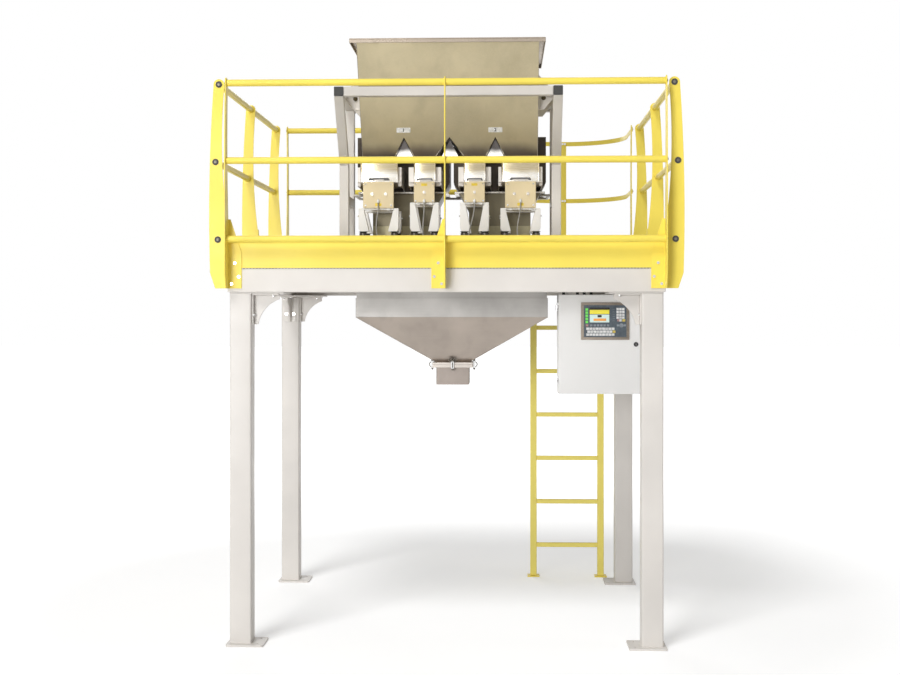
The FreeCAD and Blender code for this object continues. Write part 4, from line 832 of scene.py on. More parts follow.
LARGE_BOLT = Bolt(7.0, 6.0)
MIDDLE_BOLT = Bolt(6.0, 5.0)
YOKE_BOLT = Bolt(5.5, 4.0)
SMALL_BOLT = Bolt(5.0, 4.0)
PAD = Bolt(10.0, 9.0, 18)
PLATE_SCREW = Bolt(5.0, 3.0, 16, 1.1, 0.6, 0.4, 0.2)
DRIVE_BOLT = Bolt(7.5, 8.0, 6, 1.25, 2.0, 0.5, 6.0)
BUTTON = Bolt(13.5, 1.6, 28, 18 / 13.5, 2.2, 4 / 13.5, 0.2)
BUTTON_SCREW = Bolt(6.5, 2.4, 6, 1.2, 0.6, 0.4, 0.3)
ROUND_BUFFER = Bolt(22.5, 34.0, 24, 25 / 22.5, 4.0, 25 / 22.5, 4.0)
# A pale rod half sunk in the front of each dark buffer: a painted highlight streak.
BUFFER_HIGHLIGHT_STREAK = Bolt(7.5, 26.0, 16, 1.0, 1.0, 0.9, 0.2)


def bolt_tree() -> ShapeTree:
    """Build the tree of a bolt head on its washer, with the stud's end in it.

    Returns:
        The tree.
    """
    tree = ShapeTree("bolts", "washer", "thin", "head", "height", "sides", "stud", "proud")
    washer, thin, head, high, sides, stud, proud = tree.sizes
    body = tree.maths("MULTIPLY", high, 0.8)
    crown = tree.add("GeometryNodeMeshCone", {
        "Vertices": sides, "Radius Top": tree.maths("MULTIPLY", head, 0.82), "Radius Bottom": head,
        "Depth": tree.maths("SUBTRACT", high, body)})
    shapes = [
        tree.cylinder(18, washer, thin, 0.0),
        tree.cylinder(sides, head, body, thin),
        tree.lifted(crown, tree.maths("ADD", thin, body)),
        tree.cylinder(10, stud, proud, tree.maths("ADD", thin, high)),
    ]
    return tree.close(tree.joined(shapes), tree.standing(math.pi))


def block_tree() -> ShapeTree:
    """Build the tree of small blocks, such as keys and lamps, that stand on their seats.

    Returns:
        The tree.
    """
    tree = ShapeTree("blocks", "width", "height", "depth")
    depth = tree.sizes[2]
    cube = tree.add("GeometryNodeMeshCube", {"Size": tree.vector(*tree.sizes)})
    base = tree.lifted(cube, tree.maths("MULTIPLY", depth, 0.5))
    return tree.close(tree.joined([base, tree.lifted(cube, depth, (0.82, 0.82, 0.6))]), tree.standing())


def bead_tree() -> ShapeTree:
    """Build the tree of a weld bead: overlapping scales along a path.

    Returns:
        The tree.
    """
    tree = ShapeTree("beads", "pitch", "radius")
    pitch, radius = tree.sizes
    curve = tree.add("GeometryNodeMeshToCurve", {0: tree.inputs["Seats"]})
    points = tree.add("GeometryNodeResampleCurve", {"Curve": curve, "Length": pitch}, mode="LENGTH")
    scale = tree.add("GeometryNodeMeshIcoSphere", {"Radius": radius, "Subdivisions": 1})
    tangent = tree.add("GeometryNodeInputTangent", {})
    along = tree.add("FunctionNodeAlignRotationToVector", {"Vector": tangent}, axis="X")
    size = tree.random(0.85, 1.12, 5)
    return tree.close(scale, along, tree.vector(size, size, size), points)


def lozenge_tree() -> ShapeTree:
    """Build the tree of raised lozenges on tread plate.

    Returns:
        The tree.
    """
    tree = ShapeTree("lozenges", "length", "width", "height")
    ball = tree.add("GeometryNodeMeshIcoSphere", {"Radius": 0.5, "Subdivisions": 1})
    return tree.close(ball, tree.facing("X"), tree.vector(*tree.sizes))


BOLTS = bolt_tree()
BLOCKS = block_tree()
BEADS = bead_tree()
LOZENGES = lozenge_tree()


class SubAssembly:
    """A group of pieces that ride on one CAD body."""

    body = MACHINE
    same_point = 0.00002
    flat_angle = 0.4
    sharp_angle = 35

    def keep(self, piece: bpy.types.Object, slot: str, *nodes: str) -> bpy.types.Object:
        """Fix a piece to its body, hide the CAD nodes it stands for and report it.

        Args:
            piece: the finished piece.
            slot: not used.
            nodes: CAD nodes that it stands for.

        Returns:
            The piece.
        """
        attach(piece, self.body)
        if nodes:
            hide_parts(*nodes)
        LOG.info("%s: %d faces", piece.name, len(piece.data.polygons) if piece.type == "MESH" else 0)
        return piece

    def piece(self, name: str, solid: Solid, finish: Finish, *nodes: str, slot: str = "",
              crease: float = 32.0) -> None:
        """Close a solid and keep it as a piece that stands for CAD nodes, if any are named."""
        self.keep(solid.close(name, finish, crease), slot or finish.slot, *nodes)

    def eased(self, finish: Finish, edge: float, *nodes: str, segments: int = 1) -> None:
        """Stand in for CAD nodes with the same shapes, their edges eased.

        Args:
            finish: finish of the pieces.
            edge: width of the easing in millimetres.
            nodes: the CAD nodes, one piece each.
            segments: facets across each eased edge.
        """
        for node in nodes:
            solid = Solid(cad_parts[node].data)
            build = solid.build
            bmesh.ops.remove_doubles(build, verts=build.verts, dist=self.same_point)
            bmesh.ops.dissolve_limit(build, angle_limit=math.radians(self.flat_angle), verts=build.verts,
                                     edges=build.edges)
            limit = math.radians(self.sharp_angle)
            sharp = [e for e in build.edges if e.is_manifold and e.calc_face_angle(0.0) > limit]
            if edge > 0:
                bmesh.ops.bevel(build, geom=sharp, offset=edge * MM, segments=segments, profile=0.5,
                                affect="EDGES", clamp_overlap=True)
            self.piece(node + "_body", solid, finish, node, crease=30.0)

    def bolts(self, name: str, seats: Sequence[Seat], bolt: Bolt, finish: Finish, *nodes: str,
              slot: str = "") -> None:
        """Set bolt heads on seats."""
        made = BOLTS.grow(name, seat_mesh(seats), finish, 32.0, bolt.sizes())
        self.keep(made, slot or finish.slot, *nodes)

    def blocks(self, name: str, seats: Sequence[Seat], finish: Finish, width: float, height: float,
               depth: float, slot: str = "") -> None:
        """Set equal small blocks on seats."""
        sizes = {"width": width, "height": height, "depth": depth}
        self.keep(BLOCKS.grow(name, seat_mesh(seats), finish, 32.0, sizes), slot or finish.slot)

    def beads(self, name: str, paths: Sequence[Sequence[Vector]], finish: Finish, radius: float,
              closed: bool = False) -> None:
        """Lay weld beads along paths."""
        sizes = {"pitch": radius * 1.5, "radius": radius}
        self.keep(BEADS.grow(name, path_mesh(paths, closed), finish, 60.0, sizes), finish.slot)


@dataclass
class Cables(SubAssembly):
    """Grey leads that hang from the feeders' drives to the duct on the deck."""

    diameter: float = 7.0
    gland_z: float = 2500.0
    port_z: float = 2177.0

    def build(self) -> None:
        for name, x, steps in LEADS:
            points = [spot(x + dx, LEAD_Y + dy, self.gland_z - down) for dx, dy, down in steps]
            points[-1].z = self.port_z * MM
            curve = bpy.data.curves.new("feeder_lead_" + name, "CURVE")
            curve.dimensions = "3D"
            curve.bevel_depth = self.diameter / 2 * MM
            curve.bevel_resolution = 4
            spline = curve.splines.new("NURBS")
            spline.points.add(len(points) - 1)
            for point, place in zip(spline.points, points):
                point.co = (*place, 1.0)
            spline.order_u = 3
            spline.use_endpoint_u = True
            curve.materials.append(CABLE_GREY.material())
            lead = self.keep(linked("feeder_lead_" + name, curve), CABLE_GREY.slot, "feeder_cable_" + name)


@dataclass
class Platform(SubAssembly):
    """Legs, beams, plates and the tread plate deck."""

    weld_corner: float = 10.0
    gusset_bolt_reach: float = 118.0
    gusset_bolt_half: float = 25.0
    gusset_thickness: float = 8.0
    lozenge_pitch: float = 36.0
    lozenge_length: float = 24.0
    lozenge_width: float = 7.0
    lozenge_height: float = 2.4
    deck_margin: float = 26.0
    hole_margin: float = 30.0
    # Pitch, margin and drop of the small dark blocks along the deck's edge.
    notch_pitch: float = 18.0
    notch_margin: float = 20.0
    notch_drop: float = 2.6

    def build(self) -> None:
        """Dress the platform and add its beads, bolts and tread."""
        self.eased(CREAM, 0.0, *LEGS)
        self.eased(CREAM, 1.5, "foot_plates", "head_plates")
        self.eased(CREAM, 1.2, "gussets")
        self.eased(CREAM, 3.0, "beam_front", "beam_rear", "beams_sides")
        self.eased(CREAM, 2.0, "deck_beams")
        self.eased(CREAM, 1.0, "cabinet_hangers")
        self.eased(TREAD, 0.8, "deck_panels")
        self.leg_beads()
        self.gusset_bolts()
        self.tread()
        self.deck_edge()

    def leg_beads(self) -> None:
        """Weld each leg to its foot plate."""
        top = Span("foot_plates").top * MM
        paths = []
        for leg in map(Span, LEGS):
            foot = Vector((*leg.middle().xy, top))
            paths.append(rounded_outline(foot, RIGHT, BACKWARD, leg.width, leg.depth, self.weld_corner))
        self.beads("leg_foot_beads", paths, CREAM, 3.0, True)

    def gusset_bolts(self) -> None:
        """Bolt the gussets' flanges to the head plates and to the legs."""
        seats: list[Seat] = []
        far, near = self.gusset_bolt_reach, self.gusset_thickness
        for name in LEGS:
            leg = Span(name)
            centre = leg.middle()
            for way in (LEFT if centre.x > 0 else RIGHT, BACKWARD if "front" in name else FORWARD):
                for step in SIDES:
                    face = centre + (way * leg.width / 2 + way.cross(UP) * step * self.gusset_bolt_half) * MM
                    for reach, drop, facing in ((far, near, DOWN), (near, far, way)):
                        place = face + way * reach * MM
                        seats.append((Vector((*place.xy, (leg.top - drop) * MM)), facing))
        self.bolts("gusset_bolts", seats, LARGE_BOLT, ZINC)

    def tread(self) -> None:
        """Raise lozenges over the deck, clear of the hole over the collector."""
        deck, hole = Span("deck_panels"), Span("collector_collar")
        pitch, margin, clear = self.lozenge_pitch, self.deck_margin, self.hole_margin
        seats: list[Seat] = []
        for row in range(int((deck.depth - 2 * margin) / pitch) + 1):
            for column in range(int((deck.width - 2 * margin) / pitch) + 1):
                x, y = deck.left + margin + column * pitch, deck.front + margin + row * pitch
                if hole.left + clear < x < hole.right - clear and hole.front + clear < y < hole.rear - clear:
                    continue
                slant = 1 if (row + column) % 2 else -1
                seats.append((spot(x, y, deck.top), Vector((1, slant, 0)).normalized()))
        sizes = {"length": self.lozenge_length, "width": self.lozenge_width, "height": self.lozenge_height}
        self.keep(LOZENGES.grow("deck_tread", seat_mesh(seats), TREAD, 50.0, sizes), TREAD.slot)

    def deck_edge(self) -> None:
        """Set small dark blocks along the edge of the tread plate where it shows over the beams."""
        deck = Span("deck_panels")
        z, reach, margin = deck.top - self.notch_drop, deck.right, self.notch_margin
        seats: list[Seat] = []
        for n in range(int((2 * reach - 2 * margin) / self.notch_pitch)):
            x = -reach + margin + n * self.notch_pitch
            seats += [(spot(x, deck.front, z), FORWARD), (spot(x, deck.rear, z), BACKWARD)]
        for n in range(int((deck.rear - deck.front - 2 * margin) / self.notch_pitch)):
            y = deck.front + margin + n * self.notch_pitch
            seats += [(spot(-reach, y, z), LEFT), (spot(reach, y, z), RIGHT)]
        self.blocks("deck_edge_dark_marks", seats, RUBBER, 9.0, 3.6, 0.6, "deck_steel")


@dataclass
class GuardRail(SubAssembly):
    """Posts, rails, toe boards, and the bolts and plugs on them."""

    flange_bolts: tuple = ((42, 2124), (64, 2049), (23, 2009))
    flange_thickness: float = 6.0
    middle_post_x: float = 3.0
    middle_post_y: float = 958.0
    rear_inset: float = 4.0
    rear_left_inset: float = 20.0
    rear_middle_inset: float = 872.0
    rail_bead_radius: float = 19.5
    post_inset: float = 7.0
    middle_post_web: float = 4.0
    bead: float = 2.2
    screw_lift: float = 3.6
    tube: float = 55.0
    cap_step: float = 6.0
    cap_depths: Pair = (2.4, 1.6)

    def __post_init__(self) -> None:
        """Read where the outer faces of the beams are."""
        self.half, self.front = Span("beams_sides").right, Span("beam_front").front
        self.rear = Span("beam_rear").rear

    def build(self) -> None:
        """Dress the guard rail."""
        self.eased(YELLOW, 1.0, "guard_posts_front", "guard_posts_sides", "guard_posts_rear")
        self.eased(YELLOW, 0.0, "rails_front", "rails_sides", "rails_rear")
        self.eased(YELLOW, 1.5, "toe_boards")
        self.flange_fixings()
        self.rail_beads()
        self.plugs()
        self.tube_caps()

    def posts(self) -> list[tuple[Vector, Vector, Vector]]:
        """Give each post's corner on the beam face, the way its flange runs and the way it faces.

        Returns:
            Corner, way along and facing of each post.
        """
        half, front, rear = self.half, self.front, self.rear
        places = [(spot(x, front, 0), way, FORWARD)
                  for x, way in ((-half, RIGHT), (self.middle_post_x, LEFT), (half, LEFT))]
        places += [(spot(x, rear, 0), way, BACKWARD) for x, way in (
            (-half + self.rear_left_inset, RIGHT), (half - self.rear_middle_inset, LEFT), (half, LEFT))]
        for y, way in ((front, BACKWARD), (self.middle_post_y, BACKWARD), (rear - self.rear_inset, FORWARD)):
            places += [(spot(half, y, 0), way, RIGHT), (spot(-half, y, 0), way, LEFT)]
        return places

    def flange_fixings(self) -> None:
        """Bolt each post's flange to the beam."""
        seats: list[Seat] = []
        for corner, along, facing in self.posts():
            for reach, height in self.flange_bolts:
                place = corner + (along * reach + facing * self.flange_thickness) * MM
                seats.append((Vector((*place.xy, height * MM)), facing))
        self.bolts("post_bolts", seats, MIDDLE_BOLT, ZINC)

    def rail_beads(self) -> None:
        """Weld the rails to their posts, on both sides of a middle post."""
        inset, web = self.post_inset, self.middle_post_web
        half, front, rear = self.half, self.front, self.rear
        rings = []
        for height, reach in RAILS:
            ends = [(x, front - reach, BACKWARD) for x in (inset - half, -web, web, half - inset)]
            ends += [(x, y, RIGHT) for x in (half + reach, -half - reach)
                     for y in (front + inset, self.middle_post_y - 1, self.middle_post_y + inset,
                               rear - self.rear_inset - inset)]
            ends += [(x, rear + reach, BACKWARD) for x in (
                inset + self.rear_left_inset - half, half - self.rear_middle_inset - inset)]
            rings += [circle(spot(x, y, height), across, UP, self.rail_bead_radius, 20)
                      for x, y, across in ends]
        self.beads("rail_beads", rings, YELLOW, self.bead, True)

    def plugs(self) -> None:
        """Close the rail ends with dark buttons and screws."""
        seats: list[Seat] = []
        for height, reach in RAILS:
            for side, way in ((-1, LEFT), (1, RIGHT)):
                x = side * (self.half + reach)
                seats += [(spot(x, self.front, height), FORWARD),
                          (spot(x, self.rear - self.rear_inset, height), BACKWARD),
                          (spot(side * self.half, self.front - reach, height), way)]
            seats.append((spot(-self.half + self.rear_left_inset, self.rear + reach, height), LEFT))
        self.bolts("rail_end_buttons", seats, BUTTON, BLACK, "end_plugs")
        screws = [(place + way * self.screw_lift * MM, way) for place, way in seats]
        self.bolts("rail_end_screws", screws, BUTTON_SCREW, PLUG_SCREW)

    def tube_caps(self) -> None:
        """Close the tubes of the hopper's frame with stepped caps."""
        caps = Solid()
        beams = Span("hopper_frame_beams")
        for side in SIDES:
            for y, way in ((beams.front, FORWARD), (beams.rear, BACKWARD)):
                outer, inner = (way * depth * MM for depth in self.cap_depths)
                centre = spot(side * (beams.right - self.tube / 2), y, beams.top - self.tube / 2)
                caps.slab(centre, UP, self.tube, self.tube, 4.0, outer)
                size = self.tube - self.cap_step
                caps.slab(centre + outer, UP, size, size, 6.0, inner)
        self.piece("frame_tube_caps", caps, BLACK)


@dataclass
class Ladder(SubAssembly):
    """Ladder behind the platform and the cage round its top."""

    stringer: float = 45.0
    cap: float = 3.0
    hoop_inset: float = 6.0
    hoop_bolts: Pair = (10.0, 30.0)
    strap_half: float = 9.0
    strap_inset: float = 13.6

    def build(self) -> None:
        """Dress the ladder and bolt its cage."""
        self.eased(LIT_LADDER_COAT, 2.5, "ladder_stringers", "ladder_rungs")
        self.eased(YELLOW, 1.0, "ladder_fixings")
        self.eased(YELLOW, 0.8, "ladder_cage")
        self.cage_bolts()
        self.caps()

    def cage_bolts(self) -> None:
        """Bolt the hoops to the posts and the strap to the hoops."""
        cage = Span("ladder_cage")
        middle = (cage.left + cage.right) / 2
        seats: list[Seat] = []
        for height, _ in RAILS:
            seats += [(spot(x, cage.front + reach, height), RIGHT) for reach in self.hoop_bolts
                      for x in (cage.left + self.hoop_inset, cage.right)]
            seats += [(spot(middle + side * self.strap_half, cage.rear - self.strap_inset, height), FORWARD)
                      for side in SIDES]
        self.bolts("cage_bolts", seats, MIDDLE_BOLT, ZINC)

    def caps(self) -> None:
        """Close the tops of the stringers."""
        caps, box = Solid(), Span("ladder_stringers")
        half = self.stringer / 2
        for x in (box.left + half, box.right - half):
            caps.bar(x, half, (box.front, box.rear), (box.top, box.top + self.cap), 1.0)
        self.piece("stringer_caps", caps, BLACK)


@dataclass
class FeedHopper(SubAssembly):
    """Hopper, its carrying frame, dividers, outlets and number plates."""

    foot_front: float = 655.0
    foot_rear: float = 800.0
    seam_drop: float = 22.0
    plate_x: float = 273.0
    plate_z: float = 2934.0
    plate_width: float = 83.0
    plate_height: float = 31.0
    plate_lift: float = 3.0
    digit_size: float = 28.0
    notch_middles: tuple = (-273.0, 0.0, 273.0)
    notch_half: float = 50.0
    notch_y: float = 690.0
    notch_lean: float = 26.0
    notch_drop: float = 6.0
    notch_sheet: float = 2.0
    pad_x: float = 558.0
    pad_z: float = 3118.0
    pad_depths: Pair = (554.0, 854.0)
    bolt_depths: Pair = (566.0, 866.0)
    bolt_places: tuple = ((545, 3075), (590, 3146))

    def __post_init__(self) -> None:
        """Read the hopper's box."""
        self.box = Span("feed_hopper")

    def build(self) -> None:
        """Dress the hopper."""
        self.eased(CREAM, 3.0, "hopper_frame_beams", "hopper_frame_legs")
        self.eased(CREAM, 1.0, "hopper_brackets")
        self.eased(HOPPER_SHEET, 0.0, "feed_hopper")
        self.eased(RIM_SHEET, 1.0, "hopper_rim")
        self.eased(DIVIDER_PAINTED_LIGHT_SHEET, 0.0, "hopper_dividers")
        self.eased(OUTLET_SHEET, 0.0, "hopper_outlets")
        self.seams()
        self.notch_sheets()
        self.number_plates()
        self.bracket_bolts()

    def wall(self, foot: float, top: float, z: float) -> float:
        """Give where a leaning wall is at a height, from its places at the hopper's foot and top."""
        return foot + (z - self.box.bottom) / self.box.height * (top - foot)

    def front_wall(self, x: float, z: float) -> Vector:
        """Give a place on the front wall's outer face."""
        return spot(x, self.wall(self.foot_front, self.box.front, z), z)

    def seams(self) -> None:
        """Weld the hopper's corners from the outside."""
        box, top, paths = self.box, self.box.top - self.seam_drop, []
        for side in SIDES:
            for foot, high in ((self.foot_front, box.front), (self.foot_rear, box.rear)):
                paths.append([spot(side * box.right, foot, box.bottom),
                              spot(side * box.right, self.wall(foot, high, top), top)])
        self.beads("hopper_seams", paths, WELD, 2.0)

    def notch_sheets(self) -> None:
        """Close the notches between the outlets with the dividers' folded sheets, which carry the dividers'
        painted shade at the top and painted highlight at the foot.
        """
        sheets, box = Solid(), Span("hopper_dividers")
        for x in self.notch_middles:
            base = [spot(x + side * self.notch_half, self.notch_y, box.bottom) for side in SIDES]
            tip = spot(x, self.notch_y - self.notch_lean, box.top - self.notch_drop)
            sheets.prism([*base, tip], BACKWARD * self.notch_sheet * MM)
        self.piece("notch_sheets", sheets, DIVIDER_PAINTED_LIGHT_SHEET)

    def number_plates(self) -> None:
        """Set two plain number plates on the front wall."""
        lean = (self.front_wall(0, self.box.top) - self.front_wall(0, self.box.bottom)).normalized()
        out = RIGHT.cross(lean).normalized()
        lift = out * self.plate_lift * MM
        plates = Solid()
        for text, side in (("1", -1), ("2", 1)):
            centre = self.front_wall(side * self.plate_x, self.plate_z)
            plates.slab(centre, lean, self.plate_width, self.plate_height, 3.0, lift)
            self.digit(text, centre + lift, lean, out)
        self.piece("hopper_number_plates", plates, LABEL_WHITE)

    def digit(self, text: str, centre: Vector, up: Vector, out: Vector) -> None:
        """Set a raised number on its plate.

        Args:
            text: the number.
            centre: its middle.
            up: its upward direction.
            out: the way it faces.
        """
        curve = bpy.data.curves.new("number_" + text, "FONT")
        curve.body = text
        curve.size = self.digit_size * MM
        curve.extrude = 0.0003
        curve.offset = 0.0009
        curve.align_x = curve.align_y = "CENTER"
        mesh = evaluated(linked("number_text_" + text, curve))
        mesh.transform(Matrix.Translation(centre) @ Matrix((RIGHT, up, out)).transposed().to_4x4())
        solid = Solid(mesh)
        bmesh.ops.remove_doubles(solid.build, verts=solid.build.verts, dist=0.00001)
        self.piece("number_" + text, solid, BLACK)

    def bracket_bolts(self) -> None:
        """Bolt the brackets to the hopper and the side beams."""
        pads = [(spot(side * self.pad_x, y, self.pad_z), FORWARD) for side in SIDES for y in self.pad_depths]
        self.bolts("bracket_pads", pads, PAD, DARK_BOLT)
        bolts = [(spot(side * x, y, z), BACKWARD) for side in SIDES for y in self.bolt_depths
                 for x, z in self.bolt_places]
        self.bolts("bracket_bolts", bolts, LARGE_BOLT, ZINC)


@dataclass(frozen=True)
class FeederKind:
    """Sizes of a coarse or a fine feeder in millimetres; heights are above the floor."""

    inlet: float
    tray: float
    plate: float
    plate_foot: float
    yoke: float
    slot_half: float
    slot_rise: Pair
    pad_reach: float
    label_z: float
    label: Pair
    screw_reach: float
    screw_heights: Pair
    stud_reaches: tuple[float, ...]
    stud_z: float


COARSE = FeederKind(inlet=226, tray=263, plate=182, plate_foot=2469, yoke=238, slot_half=66,
                    slot_rise=(2637, 2653), pad_reach=60, label_z=2490, label=(38, 17), screw_reach=76,
                    screw_heights=(2486, 2612), stud_reaches=(-37, 44), stud_z=2553)
FINE = FeederKind(inlet=133, tray=195, plate=123, plate_foot=2503, yoke=171, slot_half=52,
                  slot_rise=(2635, 2650), pad_reach=36, label_z=2608, label=(36, 15), screw_reach=52,
                  screw_heights=(2512, 2614), stud_reaches=(0,), stud_z=2563)


@dataclass
class Feeders(SubAssembly):
    """Vibrating feeders: inlets, trays, drives, yokes, feet, glands and their base."""

    feeders: tuple = ((-422, COARSE), (-149, FINE), (149, FINE), (422, COARSE))
    front: float = 560.0
    top: float = 2626.0
    inlet_front: float = 600.0
    inlet_rear: float = 820.0
    inlet_foot: float = 2630.0
    inlet_height: float = 122.0
    inlet_corner: float = 14.0
    wall: float = 4.0
    seam: float = 0.3
    side_y: float = 822.0
    side_z: float = 2662.5
    side_length: float = 356.0
    side_height: float = 115.0
    side_corner: float = 12.0
    tray_rear: float = 1000.0
    ear_y: float = 640.0
    ear_rise: Pair = (2605.0, 2720.0)
    plate_rear: float = 567.0
    body_rear: float = 640.0
    magnet_rear: float = 860.0
    pad_half: float = 11.0
    pad_depths: Pair = (568.0, 571.8)
    pad_drop: float = 13.0
    foot_depths: Pair = (597.0, 815.0)
    foot_z: float = 2290.0
    yoke_bolt_z: float = 2424.0
    port_z: float = 2169.0
    gland_pitch: float = 42.0

    def build(self) -> None:
        """Dress the feeders."""
        self.inlets()
        self.trays()
        self.drives()
        self.slots()
        self.eased(WHITE_COAT, 1.2, "feeder_yokes")
        self.eased(CREAM, 2.5, "feeder_base")
        self.eased(CABINET_COAT, 2.0, "cable_duct")
        self.feet()
        self.labels()
        self.fixings()
        self.glands()

    def inlets(self) -> None:
        """Fold each inlet from one sheet with round corners."""
        sheets = Solid()
        for x, kind in self.feeders:
            outer, inner = (self.inlet_line(x, kind.inlet / 2, inset) for inset in (0.0, self.wall))
            sheets.prism(outer + inner[::-1], UP * self.inlet_height * MM)
        self.piece("feeder_inlet_sheets", sheets, INLET_SHEET, "feeder_inlets", crease=40.0)

    def inlet_line(self, x: float, half: float, inset: float) -> list[Vector]:
        """Give a line round the front of an inlet, from its left rear to its right rear.

        Args:
            x: middle of the inlet.
            half: half the width of the inlet.
            inset: how far inside its outer face the line runs.

        Returns:
            The points.
        """
        radius, foot = self.inlet_corner, self.inlet_foot
        reach = (radius - inset) * MM
        points = [spot(x - half + inset, self.inlet_rear, foot)]
        for side, angles in ((-1, (0, 22.5, 45, 67.5, 90)), (1, (90, 67.5, 45, 22.5, 0))):
            middle = spot(x + side * (half - radius), self.inlet_front + radius, foot)
            points += [middle + spoke(RIGHT * side, FORWARD, angle) * reach for angle in angles]
        return points + [spot(x + half - inset, self.inlet_rear, foot)]

    def trays(self) -> None:
        """Make each tray's floor, its sides and the ears that fold in beside the inlet."""
        sheets = Solid()
        for x, kind in self.feeders:
            half, wall = kind.tray / 2, self.wall
            floor = half - wall - self.seam
            sheets.bar(x, floor, (self.inlet_front, self.tray_rear), (self.top, self.top + wall))
            for side in SIDES:
                centre = spot(x + side * half, self.side_y, self.side_z)
                outline = rounded_outline(centre, BACKWARD, UP, self.side_length, self.side_height,
                                          self.side_corner)
                sheets.prism(outline, LEFT * side * wall * MM)
                sheets.prism(self.ear(x, kind, side), BACKWARD * wall * MM)
        self.piece("feeder_tray_sheets", sheets, TRAY_SHEET, "feeder_trays")

    def ear(self, x: float, kind: FeederKind, side: int) -> list[Vector]:
        """Give the outline of one ear, with its lower outer corner rounded.

        Args:
            x: middle of the feeder.
            kind: its sizes.
            side: -1 for the left ear, 1 for the right one.

        Returns:
            The points in order.
        """
        near, far, y, corner = kind.inlet / 2 + self.seam, kind.tray / 2, self.ear_y, self.side_corner
        low, high = self.ear_rise
        middle = spot(x + side * (far - corner), y, low + corner)
        arc = [middle + spoke(RIGHT * side, UP, 22.5 * n - 90) * corner * MM for n in range(5)]
        start = [spot(x + side * near, y, z) for z in (high, low)]
        return [*start, *arc, spot(x + side * far, y, high)]

    def drives(self) -> None:
        """Give each drive a bevelled front plate, a body behind it and a magnet block."""
        units = Solid()
        for x, kind in self.feeders:
            half, foot = kind.plate / 2, kind.plate_foot
            units.bar(x, half, (self.front, self.plate_rear), (foot, self.top), 3.0)
            units.bar(x, half - 4, (self.plate_rear, self.body_rear), (foot + 3, self.top), 2.0)
            units.bar(x, half * 0.7, (self.body_rear + self.seam, self.magnet_rear), (foot, self.top), 4.0)
        self.piece("feeder_drive_units", units, DRIVE_COAT, "feeder_drives")

    def slots(self) -> None:
        """Paint the shadow under each inlet's lip as a dark strip, and set the clips in it; the first clip is
        shorter.
        """
        slots, clips = Solid(), Solid()
        face = self.inlet_front
        for x, kind in self.feeders:
            wide, (low, high) = kind.slot_half, kind.slot_rise
            corners = ((-wide, low), (wide, low), (wide - 9, high), (9 - wide, high))
            # Painted shadow: a thin dark strip on the inlet's face stands for the shade under its lip.
            slots.prism([spot(x + dx, face, z) for dx, z in corners], FORWARD * 1.2 * MM)
            half = wide * (0.45 if x == self.feeders[0][0] else 0.72)
            clips.bar(x, half, (face - 3.2, face - 1.2), (low + 1, low + 6), 0.6)
            for side in SIDES:
                clips.bar(x + side * (wide + 7), 4, (face - 4, face), (low - 3, low + 5), 1.0)
            clips.bar(x, half * 0.8, (self.plate_rear, face), (self.top + 0.2, self.top + 5), 1.0)
        self.piece("inlet_lip_shadows", slots, RUBBER)
        self.piece("inlet_clips", clips, TRAY_SHEET)

    def feet(self) -> None:
        """Stand each yoke on round buffers, with a pale half-sunk rod on each as a painted highlight, and pad
        it under its drive.
        """
        seats = [(spot(x + side * (kind.yoke / 2 - 25), y, self.foot_z), UP)
                 for x, kind in self.feeders for side in SIDES for y in self.foot_depths]
        self.bolts("feeder_buffers", seats, ROUND_BUFFER, BUFFER, "feeder_feet")
        # Painted highlight: a pale rod in front of each buffer stands for its glossy streak.
        sleeves = [(place + (FORWARD * 16.5 + UP * 5) * MM, way) for place, way in seats]
        self.bolts("buffer_highlight_streaks", sleeves, BUFFER_HIGHLIGHT_STREAK, PLUG_SCREW)
        pads = Solid()
        for x, kind in self.feeders:
            rise = (kind.plate_foot - self.pad_drop, kind.plate_foot + 1)
            for side in SIDES:
                pads.bar(x + side * kind.pad_reach, self.pad_half, self.pad_depths, rise, 1.0)
        self.piece("yoke_pads", pads, KEY_WHITE, slot="white_paint")

    def labels(self) -> None:
        """Stick small plain yellow plates on the drives."""
        labels = Solid()
        for x, kind in self.feeders:
            labels.slab(spot(x, self.front, kind.label_z), UP, *kind.label, 2.0, FORWARD * 0.8 * MM)
        self.piece("drive_labels", labels, LABEL_YELLOW)

    def fixings(self) -> None:
        """Set the plates' corner screws, the drives' bolts and the yokes' side bolts."""
        screws, studs, sides = [], [], []
        for x, kind in self.feeders:
            screws += [(spot(x + side * kind.screw_reach, self.front, z), FORWARD)
                       for side in SIDES for z in kind.screw_heights]
            studs += [(spot(x + reach, self.front, kind.stud_z), FORWARD) for reach in kind.stud_reaches]
            sides += [(spot(x + way.x * kind.yoke / 2, y, self.yoke_bolt_z), way)
                      for way in (LEFT, RIGHT) for y in self.foot_depths]
        self.bolts("plate_screws", screws, PLATE_SCREW, ZINC)
        self.bolts("drive_bolts", studs, DRIVE_BOLT, BRIGHT_SHEET, slot="zinc")
        self.bolts("yoke_bolts", sides, YOKE_BOLT, ZINC)

